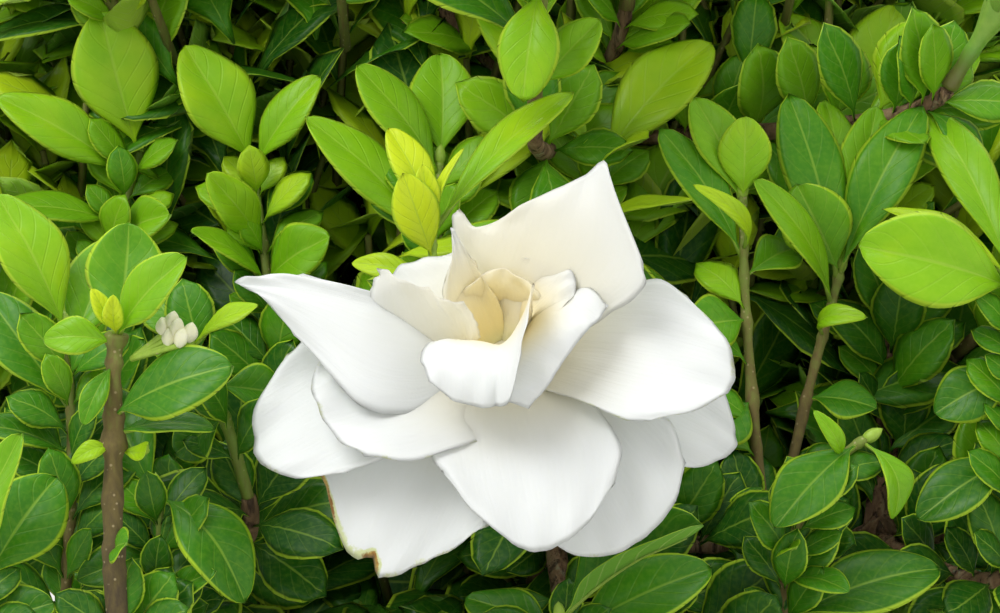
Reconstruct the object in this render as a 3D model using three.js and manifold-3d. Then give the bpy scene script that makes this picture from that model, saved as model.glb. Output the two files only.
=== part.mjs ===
// A gardenia in a plain clay pot: a woody bush with glossy leaves in opposite pairs, double white blooms and
// spiral buds. Millimetres, +Z up, origin at the middle of the pot's underside. The best bloom faces -Y.
import * as THREE from 'three';
import { mergeVertices } from 'three/addons/utils/BufferGeometryUtils.js';
import Module from 'manifold-3d';

const wasm = await Module();
wasm.setup();

// ---------------------------------------------------------------- driving dimensions, in mm and degrees
const GAP = 0.3; // between two nodes that touch
const WELDS = [0.12, 0.1, 0.08, 0.05]; // corners this close become one when solids are joined, widest first

const POT = { height: 150, rimRadius: 85, rimDepth: 24, lip: 5, shoulderRadius: 78, footRadius: 57, wall: 6 };
const POT_FLOOR = { thickness: 9, drains: 3, drainRadius: 5, drainRing: 30 };
const POT_SIDES = 28;
const SOIL = { below: 15, dome: 5, lump: 1.3, sides: 14 };
const TRUNK = { radius: 6.5, sunk: 35, top: 176, sides: 8 };
const SCAFFOLD = { count: 7, reach: 92, radius: 4.2, tipRadius: 2.4, sides: 4, steps: 3 };
const TWIG = { radius: 2, straight: 12, sides: 3, steps: 2 };

const CROWN = { centre: 250, radius: 146, rise: 136, low: -14, high: 84 };
const SHOOT = { count: 25, length: 60, radius: 1.5, tipRadius: 0.9, sides: 3, lift: 0.75 };
const LEAF = { length: 37, width: 18, thickness: 1.1, pairs: 4, clearance: 0.4 };

const FRONT_BLOOM = [0, -118, 290]; // where the front bloom's petals meet
const BLOOM_LEAN = 35; // of its axis from upright
const EYE = { down: 22, away: 500, up: 9.7 }; // the front is set out for an eye here, looking above that bloom
const PETAL = { thickness: 1, grid: [3, 3], plainGrid: [3, 2] };
const CALYX = { below: 9, length: 13, radius: 3.6, stemRadius: 1.6, stem: 12, sides: 7 };
const CALYX_LOBE = { count: 5, length: 14, width: 2.6, lean: 32 };
const BUD = { length: 27, radius: 6.4, ridges: 5, depth: 0.13, turns: 0.35 };

// ---------------------------------------------------------------- small helpers
const { sin, cos, PI, sqrt, abs, min, max, floor } = Math;
const rad = THREE.MathUtils.degToRad;
const vec = (x, y, z) => new THREE.Vector3(x, y, z);
const mix = (a, b, t) => a + (b - a) * t;

// A repeatable draw from -1 to 1 for the pair of whole numbers a, b.
function scatter(a, b) {
  const s = sin(a * 12.9898 + b * 78.233) * 43758.5453;
  return 2 * (s - floor(s)) - 1;
}

// A smooth line through evenly spaced values, read at t from 0 to 1.
function through(values, t) {
  const last = values.length - 1;
  const u = min(max(t, 0), 1) * last;
  const i = min(floor(u), last - 1);
  const f = u - i;
  const b = values[i];
  const c = values[i + 1];
  const a = i > 0 ? values[i - 1] : 2 * b - c;
  const d = i + 2 <= last ? values[i + 2] : 2 * c - b;
  return 0.5 * (2 * b + (c - a) * f + (2 * a - 5 * b + 4 * c - d) * f * f + (3 * b - a - 3 * c + d) * f ** 3);
}

// The point at t, and the way on from there, of the curve that points draw towards themselves.
function onCurve(points, t) {
  let row = points;
  while (row.length > 2) row = row.slice(1).map((p, i) => row[i].clone().lerp(p, t));
  return { at: row[0].clone().lerp(row[1], t), way: row[1].clone().sub(row[0]).normalize() };
}

// A direction as the eye in front of the bush sees it: to the right, up and nearer.
function seenWay(right, up, near) {
  const e = rad(EYE.down);
  return vec(right, up * sin(e) - near * cos(e), up * cos(e) + near * sin(e));
}

// The point nearer than the front bloom by near that is seen right of it and up from it by so much.
function seen(right, up, near) {
  const spread = (EYE.away - near) / EYE.away;
  return vec(...FRONT_BLOOM).add(seenWay(right * spread, EYE.up + (up - EYE.up) * spread, near));
}

// The other way round: where a point is seen.
function seenAt(point) {
  const e = rad(EYE.down);
  const p = point.clone().sub(vec(...FRONT_BLOOM));
  const near = -p.y * cos(e) + p.z * sin(e);
  const spread = (EYE.away - near) / EYE.away;
  return { right: p.x / spread, up: EYE.up + (p.y * sin(e) + p.z * cos(e) - EYE.up) / spread, near };
}

// ---------------------------------------------------------------- solids
function solid(geometry) {
  const bare = geometry.index ? geometry.toNonIndexed() : geometry;
  const clean = new THREE.BufferGeometry().setAttribute('position', bare.getAttribute('position'));
  const merged = mergeVertices(clean, 1e-3);
  const index = merged.index.array;
  const kept = [];
  for (let i = 0; i < index.length; i += 3) {
    const [a, b, c] = index.subarray(i, i + 3);
    if (a !== b && b !== c && c !== a) kept.push(a, b, c);
  }
  const vertProperties = merged.attributes.position.array;
  return new wasm.Manifold(new wasm.Mesh({ numProp: 3, vertProperties, triVerts: new Uint32Array(kept) }));
}

function geometryOf(body) {
  const { numProp, numVert, vertProperties, triVerts } = body.getMesh();
  const position = new Float32Array(numVert * 3);
  for (let i = 0; i < numVert; i++) position.set(vertProperties.subarray(i * numProp, i * numProp + 3), i * 3);
  return new THREE.BufferGeometry()
    .setAttribute('position', new THREE.BufferAttribute(position, 3))
    .setIndex(new THREE.BufferAttribute(triVerts, 1));
}

// Whether a solid stays closed when its corners are rounded to a tenth of a micron, as a file may round them.
function staysClosed(body) {
  const { numProp, vertProperties, triVerts } = body.getMesh();
  const corner = (i) => [0, 1, 2].map((k) => Math.round(vertProperties[i * numProp + k] * 1e4)).join();
  const uses = new Map();
  for (let i = 0; i < triVerts.length; i += 3) {
    const [a, b, c] = [...triVerts.subarray(i, i + 3)].map(corner);
    if (a === b || b === c || c === a) continue;
    for (const edge of [[a, b], [b, c], [c, a]]) {
      const key = edge.sort().join(' ');
      uses.set(key, (uses.get(key) ?? 0) + 1);
    }
  }
  return [...uses.values()].every((n) => n === 2);
}

// Joins solids into one and leaves out any loose scrap. With no weld that keeps it closed, there is no result.
function fused(bodies) {
  const joined = wasm.Manifold.union(bodies);
  const largest = (weld) => {
    return joined.simplify(weld).decompose().reduce((a, b) => (b.volume() > a.volume() ? b : a));
  };
  return WELDS.map(largest).find(staysClosed);
}

function lathe(profile, sides) {
  return new THREE.LatheGeometry(profile.map(([r, z]) => new THREE.Vector2(r, z)), sides).rotateX(PI / 2);
}

// A closed sheet. at(row, column, side) gives a point of its upper face (side 1) or lower face (side -1). Both
// faces are split into triangles alike. Where the two faces meet at a margin, the wall there vanishes.
function sheet(rows, columns, at) {
  const points = [];
  const faces = [];
  for (const side of [1, -1])
    for (let r = 0; r <= rows; r++) for (let c = 0; c <= columns; c++) points.push(at(r, c, side));
  const id = (r, c, side) => (side < 0 ? (rows + 1) * (columns + 1) : 0) + r * (columns + 1) + c;
  const quad = (a, b, c, d) => faces.push(a, b, c, a, c, d);
  for (let r = 0; r < rows; r++) {
    for (let c = 0; c < columns; c++) {
      quad(id(r, c, 1), id(r, c + 1, 1), id(r + 1, c + 1, 1), id(r + 1, c, 1));
      const [p, q, s, t] = [id(r, c, -1), id(r, c + 1, -1), id(r + 1, c + 1, -1), id(r + 1, c, -1)];
      faces.push(p, s, q, p, t, s);
    }
    quad(id(r, 0, -1), id(r, 0, 1), id(r + 1, 0, 1), id(r + 1, 0, -1));
    quad(id(r, columns, 1), id(r, columns, -1), id(r + 1, columns, -1), id(r + 1, columns, 1));
  }
  for (let c = 0; c < columns; c++) {
    quad(id(0, c, -1), id(0, c + 1, -1), id(0, c + 1, 1), id(0, c, 1));
    quad(id(rows, c, 1), id(rows, c + 1, 1), id(rows, c + 1, -1), id(rows, c, -1));
  }
  return new THREE.BufferGeometry().setFromPoints(points).setIndex(faces);
}

// A tapering stem with flat ends, round the curve that points draw.
function stem(points, radius, tipRadius, sides, steps) {
  const whole = points.at(-1).clone().sub(points[0]);
  const aside = abs(whole.z) > 0.8 * whole.length() ? vec(1, 0, 0) : vec(0, 0, 1);
  const corners = [];
  const faces = [];
  for (let i = 0; i <= steps; i++) {
    const { at, way } = onCurve(points, i / steps);
    const u = way.clone().cross(aside).normalize();
    const v = way.clone().cross(u);
    for (let j = 0; j < sides; j++) {
      const angle = (2 * PI * j) / sides;
      const r = mix(radius, tipRadius, i / steps);
      corners.push(at.clone().addScaledVector(u, r * cos(angle)).addScaledVector(v, r * sin(angle)));
    }
  }
  const id = (i, j) => i * sides + (j % sides);
  for (let i = 0; i < steps; i++)
    for (let j = 0; j < sides; j++)
      faces.push(id(i, j), id(i, j + 1), id(i + 1, j + 1), id(i, j), id(i + 1, j + 1), id(i + 1, j));
  for (let j = 1; j < sides - 1; j++) {
    faces.push(id(0, 0), id(0, j + 1), id(0, j));
    faces.push(id(steps, 0), id(steps, j), id(steps, j + 1));
  }
  return solid(new THREE.BufferGeometry().setFromPoints(corners).setIndex(faces));
}

// ---------------------------------------------------------------- leaves
const LEAF_ROWS = [0, 0.34, 0.72, 1]; // how far along the leaf each row lies
const LEAF_WIDTHS = [0.1, 0.92, 0.9, 0]; // how wide it is there, as a share of its full width

// A leaf from base to tip with its upper face turned towards face. It arches by bend, a share of its length, and
// its underside comes to a keel along the midrib. swell makes it larger all round.
function leaf({ base, tip, face, width, bend = 0.12 }, swell = 0) {
  const along = tip.clone().sub(base);
  const length = along.length();
  along.normalize();
  const across = along.clone().cross(face).normalize();
  const up = across.clone().cross(along);
  const points = LEAF_ROWS.slice(0, -1).flatMap((t, row) => {
    const half = (width / 2) * LEAF_WIDTHS[row] + swell;
    const arch = 4 * bend * length * t * (1 - t);
    const middle = base.clone().addScaledVector(along, length * t).addScaledVector(up, arch + swell);
    const keel = middle.clone().addScaledVector(up, -LEAF.thickness - 2 * swell);
    return [middle.clone().addScaledVector(across, -half), middle.clone().addScaledVector(across, half), keel];
  });
  const end = points.push(tip.clone().addScaledVector(along, swell)) - 1;
  const faces = [0, 2, 1];
  for (let i = 0; i < end; i += 3) {
    for (const [a, b] of [[0, 1], [1, 2], [2, 0]]) {
      if (i + 3 < end) faces.push(i + a, i + b, i + 3 + b, i + a, i + 3 + b, i + 3 + a);
      else faces.push(i + a, i + b, end);
    }
  }
  return solid(new THREE.BufferGeometry().setFromPoints(points).setIndex(faces));
}

// ---------------------------------------------------------------- petals
const ROUND = [0.76, 0.93, 1, 0.93, 0.76];
const SPINE_STEPS = 24;

// Each petal leaves the bloom's axis in the direction turn, from seat above the base and out from the axis. It
// climbs at the angles of rise, from its foot to its tip. left and right are its half widths, seen from the axis,
// at even steps along it, and reach is how far it gets, at even steps across. aside moves its tip to the right
// and cup lifts its two sides.
const OUTER = [
  { turn: -20, rise: [22, -6, -28], length: 44, left: [4, 10, 13, 11], right: [4, 10, 13, 11], cup: [1, 1] },
  {
    turn: -60, rise: [33, -6, -28], length: 43, left: [4, 12, 18, 18], right: [4, 11, 15, 13],
    reach: [0.84, 0.96, 1, 0.95, 0.8], cup: [1, 1],
  },
  {
    turn: -118, rise: [30, -15, -35], length: 46, left: [4, 11, 15, 12], right: [4, 13, 21, 17],
    reach: [0.7, 0.86, 1, 0.9, 0.74], cup: [2, 2],
  },
  { turn: -155, rise: [30, 0, -25], length: 47, left: [4, 10, 14, 13], right: [4, 11, 15, 13], cup: [2, 2] },
  { turn: 138, rise: [25, 5, -10], length: 25, left: [4, 9, 12, 10], right: [4, 9, 12, 10], cup: [1, 1] },
  { turn: 52, rise: [30, 5, -15], length: 31, left: [4, 9, 12, 10], right: [4, 9, 12, 10], cup: [1, 1] },
];
const MIDDLE = [
  {
    turn: -82, rise: [40, 5, -20], length: 43, seat: 2, left: [5, 13, 17, 14], right: [5, 13, 15, 13],
    reach: [0.8, 0.95, 1, 0.88, 0.66], cup: [0, 0],
  },
  {
    turn: -154, rise: [40, 12, 5], length: 36, seat: 2.5, left: [7, 16, 18, 18, 18, 17, 15],
    right: [5, 9, 10, 9], reach: [0.96, 0.99, 1, 0.95, 0.85], cup: [1, -1],
  },
  {
    turn: -16, rise: [45, 10, -5], length: 43, seat: 2, left: [4, 11, 15, 13], right: [4, 10, 14, 12],
    cup: [2, 2],
  },
  {
    turn: 62, rise: [70, 50, 25], length: 38.5, seat: 3, left: [5, 12, 16, 17], right: [5, 15, 22, 13],
    reach: [0.62, 0.54, 0.58, 0.7, 0.82, 0.93, 1.02, 0.86, 0.72], cup: [2, 2],
  },
  {
    turn: 176, rise: [42, 19, 6], length: 48, seat: 4, left: [6, 13, 18.5, 19, 12, 6, 2],
    right: [5, 5, 3.5, 2.2, 3, 4, 2], reach: [0.8, 0.92, 1, 0.92, 0.8], cup: [-2.5, 0],
  },
  {
    turn: 126, rise: [75, 58, 42], length: 25, seat: 4, left: [3, 7.5, 6.5, 0.5], right: [2, 2.2, 1, 0.3],
    cup: [1, 1],
  },
];
const INNER = [
  {
    turn: 88, rise: [88, 80, 60], length: 15, seat: 4, out: 4, left: [5, 8, 9, 8], right: [5, 8, 9, 8],
    cup: [5, 5],
  },
  {
    turn: 20, rise: [85, 60, 20], length: 20.5, seat: 4, out: 3, left: [4, 8, 8, 6], right: [4, 8, 8, 6],
    cup: [2, 2],
  },
  {
    turn: -110, rise: [82, 96, 102], length: 22, seat: 3, out: 6.5, aside: 11.5, left: [1, 2.3, 4.4, 7.4, 8.5],
    right: [14, 15.5, 15.7, 13, 9], reach: [0.96, 0.95, 0.97, 1, 0.97], cup: [0, 2],
  },
  {
    turn: -36, rise: [85, 60, -20], length: 25.5, seat: 4, out: 3, left: [4, 9, 11, 11],
    right: [4, 12, 16, 16], reach: [0.98, 0.96, 0.95, 0.98, 1.02], cup: [-1, -1],
  },
  {
    turn: -94, rise: [88, 55, -50], length: 31, seat: 4, out: 4, left: [4, 5.5, 5.5, 5],
    right: [4, 10, 12.5, 11], reach: [0.86, 0.97, 1, 0.99, 0.92], cup: [10, -1],
  },
];

// The petal's midrib in the bloom's frame, with the directions across it and out of its upper face.
function petalSpine({ turn, rise, length, seat = 0, out = 1 }) {
  const spine = [];
  const outwards = vec(cos(rad(turn)), sin(rad(turn)), 0);
  const at = outwards.clone().multiplyScalar(out).setZ(seat);
  let before = null;
  for (let i = 0; i <= SPINE_STEPS; i++) {
    const climb = rad(through(rise, i / SPINE_STEPS));
    const along = outwards.clone().multiplyScalar(cos(climb)).setZ(sin(climb));
    const up = outwards.clone().multiplyScalar(-sin(climb)).setZ(cos(climb));
    if (before) at.addScaledVector(before.clone().add(along), length / SPINE_STEPS / 2);
    before = along;
    spine.push({ at: at.clone(), up });
  }
  return { spine, across: vec(sin(rad(turn)), -cos(rad(turn)), 0) };
}

function petal(shape, [rows, columns]) {
  const { left, right, reach = ROUND, aside = 0, cup } = shape;
  const { spine, across } = petalSpine(shape);
  return sheet(rows, columns, (row, column, side) => {
    const s = (2 * column) / columns - 1;
    const t = row / rows;
    const far = t * (1 + (through(reach, (s + 1) / 2) - 1) * t);
    const step = min(floor(far * SPINE_STEPS), SPINE_STEPS - 1);
    const f = far * SPINE_STEPS - step;
    const [a, b] = [spine[step], spine[step + 1]];
    const half = through(s < 0 ? left : right, far);
    const lift = (s < 0 ? cup[0] : cup[1]) * s * s * sin((PI / 2) * min(1.6 * far, 1));
    const thick = abs(s) < 1 && row < rows ? (side * PETAL.thickness) / 2 : 0;
    const up = a.up.clone().lerp(b.up, f).normalize();
    const middle = a.at.clone().lerp(b.at, f).addScaledVector(across, aside * t);
    return middle.addScaledVector(across, s * half).addScaledVector(up, lift + thick);
  });
}

// ---------------------------------------------------------------- pot and soil
const shoulder = POT.height - POT.rimDepth;
const insideShoulder = shoulder - 2;
const soilTop = POT.height - SOIL.below;

function pot() {
  const { height, rimRadius, lip, shoulderRadius, footRadius, wall } = POT;
  const { thickness, drains, drainRadius, drainRing } = POT_FLOOR;
  const profile = [
    [0, 0],
    [footRadius - 2, 0],
    [footRadius, 2],
    [shoulderRadius, shoulder],
    [rimRadius - 1, shoulder],
    [rimRadius, shoulder + 1],
    [rimRadius + 1, height - 1.5],
    [rimRadius - 0.5, height],
    [rimRadius - lip, height],
    [shoulderRadius - wall, insideShoulder],
    [footRadius - wall, thickness],
    [0, thickness],
  ];
  let body = solid(lathe(profile, POT_SIDES));
  for (let i = 0; i < drains; i++) {
    const round = (2 * PI * i) / drains;
    const drain = new THREE.CylinderGeometry(drainRadius, drainRadius, thickness * 3, 12);
    drain.rotateX(PI / 2).translate(drainRing * cos(round), drainRing * sin(round), 0);
    body = body.subtract(solid(drain));
  }
  return body;
}

// The radius inside the pot at a height.
function insideRadius(z) {
  const { height, rimRadius, lip, shoulderRadius, footRadius, wall } = POT;
  const { thickness } = POT_FLOOR;
  const waist = shoulderRadius - wall;
  if (z < insideShoulder) return mix(footRadius - wall, waist, (z - thickness) / (insideShoulder - thickness));
  return mix(waist, rimRadius - lip, (z - insideShoulder) / (height - insideShoulder));
}

function soil() {
  const low = POT_FLOOR.thickness + GAP;
  const fill = [low, insideShoulder, soilTop].map((z) => [insideRadius(z) - GAP, z]);
  const domeAt = (share) => [insideRadius(soilTop) * share, soilTop + SOIL.dome * (1 - share ** 2)];
  const crown = [0.78, 0.52, 0.26].map(domeAt);
  const geometry = lathe([[0, low], ...fill, ...crown, [0, soilTop + SOIL.dome]], SOIL.sides);
  const p = geometry.attributes.position;
  for (let i = 0; i < p.count; i++) {
    const [x, y, z] = [p.getX(i), p.getY(i), p.getZ(i)];
    const lump = sin(x * 0.21 + 1) * cos(y * 0.17) + 0.6 * sin(x * 0.5 - y * 0.43);
    if (z > soilTop + 1) p.setZ(i, z + SOIL.lump * lump);
  }
  const reach = 2 * (TRUNK.sunk + GAP);
  const wide = TRUNK.radius / cos(PI / TRUNK.sides) + GAP;
  const hole = new THREE.CylinderGeometry(wide, wide, reach, TRUNK.sides);
  return solid(geometry).subtract(solid(hole.rotateX(PI / 2).translate(0, 0, soilTop + SOIL.dome)));
}

// ---------------------------------------------------------------- flowers
// A place on the crown's outline, round it and up it in radians, and the way that a shoot there grows.
function onCrown(round, climb, beyond) {
  const out = vec(cos(climb) * cos(round), cos(climb) * sin(round), sin(climb));
  const at = out.clone().multiply(vec(CROWN.radius, CROWN.radius, CROWN.rise)).add(vec(0, 0, CROWN.centre));
  return { at: at.addScaledVector(out, beyond), way: out.clone().add(vec(0, 0, SHOOT.lift)).normalize() };
}

const lean = rad(BLOOM_LEAN);
const front = { at: vec(...FRONT_BLOOM), way: vec(0, -sin(lean), cos(lean)) };
const FLOWERS = [
  { name: 'bloom_front', opened: 'fully', ...front, size: 1 },
  { name: 'bloom_back', opened: 'partly', ...onCrown(rad(75), rad(38), 4), size: 0.92 },
  { name: 'bloom_left', opened: 'partly', ...onCrown(rad(196), rad(16), 4), size: 0.84 },
  { name: 'bud_right', opened: 'not', ...onCrown(rad(338), rad(42), 4), size: 1 },
  { name: 'bud_top', opened: 'not', ...onCrown(rad(170), rad(74), 4), size: 1.05 },
];

// Turns a shape made round +Z at the origin to its flower's place.
function placed(geometry, { at, way, size }) {
  const turn = new THREE.Quaternion().setFromUnitVectors(vec(0, 0, 1), way);
  return solid(geometry.applyMatrix4(new THREE.Matrix4().compose(at, turn, vec(size, size, size))));
}

function bloom(flower) {
  const full = flower.opened === 'fully';
  const fewer = [...OUTER.slice(0, 5), ...MIDDLE.slice(0, 2), ...INNER.slice(3)];
  const shapes = full ? [...OUTER, ...MIDDLE, ...INNER] : fewer;
  const petals = shapes.map((shape) => petal(shape, full ? PETAL.grid : PETAL.plainGrid));
  const core = new THREE.SphereGeometry(4.5, 8, 5).scale(1, 1, 1.2).translate(0, 0, 2);
  const tube = new THREE.CylinderGeometry(3, 2.4, CALYX.below + 2, 8).rotateX(PI / 2);
  const pieces = [...petals, core, tube.translate(0, 0, 1 - CALYX.below / 2)];
  return fused(pieces.map((geometry) => placed(geometry, flower)));
}

// A closed bud, with its petals wound round it as twisted ridges.
function bud(flower) {
  const geometry = new THREE.SphereGeometry(1, 2 * BUD.ridges, 6).rotateX(PI / 2);
  const p = geometry.attributes.position;
  for (let i = 0; i < p.count; i++) {
    const [x, y, z] = [p.getX(i), p.getY(i), p.getZ(i)];
    const ridge = 1 + BUD.depth * cos(BUD.ridges * (Math.atan2(y, x) - 2 * PI * BUD.turns * z));
    const waist = BUD.radius * ridge * (1 - 0.35 * z);
    p.setXYZ(i, x * waist, y * waist, (BUD.length / 2) * (1 + z) - CALYX.below);
  }
  return placed(geometry, flower);
}

// The green cup under a flower, with its narrow lobes and its stalk.
function calyx(flower) {
  const top = -CALYX.below - GAP / flower.size;
  const foot = top - CALYX.length - CALYX.stem;
  const { radius, stemRadius } = CALYX;
  const stalk = [[0, foot], [stemRadius, foot], [stemRadius, foot + CALYX.stem]];
  const pieces = [lathe([...stalk, [radius, top - 3], [radius, top], [0, top]], CALYX.sides)];
  for (let i = 0; i < CALYX_LOBE.count; i++) {
    const { length, width } = CALYX_LOBE;
    const lobe = new THREE.ConeGeometry(width / 2, length, 3).translate(0, length / 2, 0);
    lobe.rotateX(PI / 2 - rad(CALYX_LOBE.lean)).translate(0, radius * 0.7, top - 5);
    pieces.push(lobe.rotateZ((2 * PI * i) / CALYX_LOBE.count));
  }
  return fused(pieces.map((geometry) => placed(geometry, flower)));
}

// ---------------------------------------------------------------- where the shoots grow
// The shoots of the crown stand round it at the golden angle. What would hide or crowd the front bloom, in the
// part of the bush that is seen round it, gives way to the shoots set out below.
const GOLDEN = PI * (3 - sqrt(5));
const FRONT = { right: 96, down: -52, up: 70, behind: -104 };
const FLOWER_ROOM = 38;

function inFront(point) {
  const { right, up, near } = seenAt(point);
  return abs(right) < FRONT.right && up > FRONT.down && up < FRONT.up && near > FRONT.behind;
}

function crownShoots() {
  const shoots = [];
  for (let i = 0; i < SHOOT.count; i++) {
    const climb = Math.asin(mix(sin(rad(CROWN.high)), sin(rad(CROWN.low)), (i + 0.5) / SHOOT.count));
    const { at, way } = onCrown(i * GOLDEN + 0.25 * scatter(i, 1), climb, 5 * scatter(i, 2));
    if (inFront(at) || FLOWERS.some((flower) => flower.at.distanceTo(at) < FLOWER_ROOM)) continue;
    const root = at.clone().addScaledVector(way, -SHOOT.length * (1 + 0.12 * scatter(i, 3)));
    const points = [root, at];
    const name = 'shoot_' + String(i + 1).padStart(2, '0');
    shoots.push({ name, points, leaves: pairedLeaves(i + 1, points) });
  }
  return shoots;
}

// Leaves in opposite pairs, each pair square to the last, smaller and steeper towards the tip. Each leaf is a
// list of places, opened more or less widely: the first that is free is taken.
const OPENINGS = [0, -13, 13, -24, 24, 36];

function pairedLeaves(seed, points) {
  const leaves = [];
  const last = LEAF.pairs - 1;
  for (let pair = 0; pair <= last; pair++) {
    const { at, way } = onCurve(points, mix(0.28, 0.97, pair / last));
    const sideways = vec(0, 0, 1).cross(way).normalize();
    const forwards = way.clone().cross(sideways);
    for (const side of [0, 1]) {
      const draw = (k) => scatter(seed * 100 + pair * 10 + side, k);
      const round = pair * (PI / 2) + side * PI + 0.9 * seed + 0.3 * draw(1);
      const outwards = sideways.clone().multiplyScalar(cos(round)).addScaledVector(forwards, sin(round));
      const length = LEAF.length * (mix(1, 0.68, (pair / last) ** 2) + 0.1 * draw(3));
      const width = (LEAF.width / LEAF.length) * length * (1 + 0.12 * draw(4));
      const base = at.clone().addScaledVector(outwards, 0.3 * SHOOT.radius);
      leaves.push(
        OPENINGS.map((more) => {
          const open = rad(mix(70, 30, pair / last) + 9 * draw(2) + more);
          const along = way.clone().multiplyScalar(cos(open)).addScaledVector(outwards, sin(open));
          const face = way.clone().multiplyScalar(sin(open)).addScaledVector(outwards, -cos(open));
          const tip = base.clone().addScaledVector(along, length);
          return { base, tip, face, width, bend: 0.1 + 0.05 * draw(5) };
        }),
      );
    }
  }
  return leaves;
}

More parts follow.
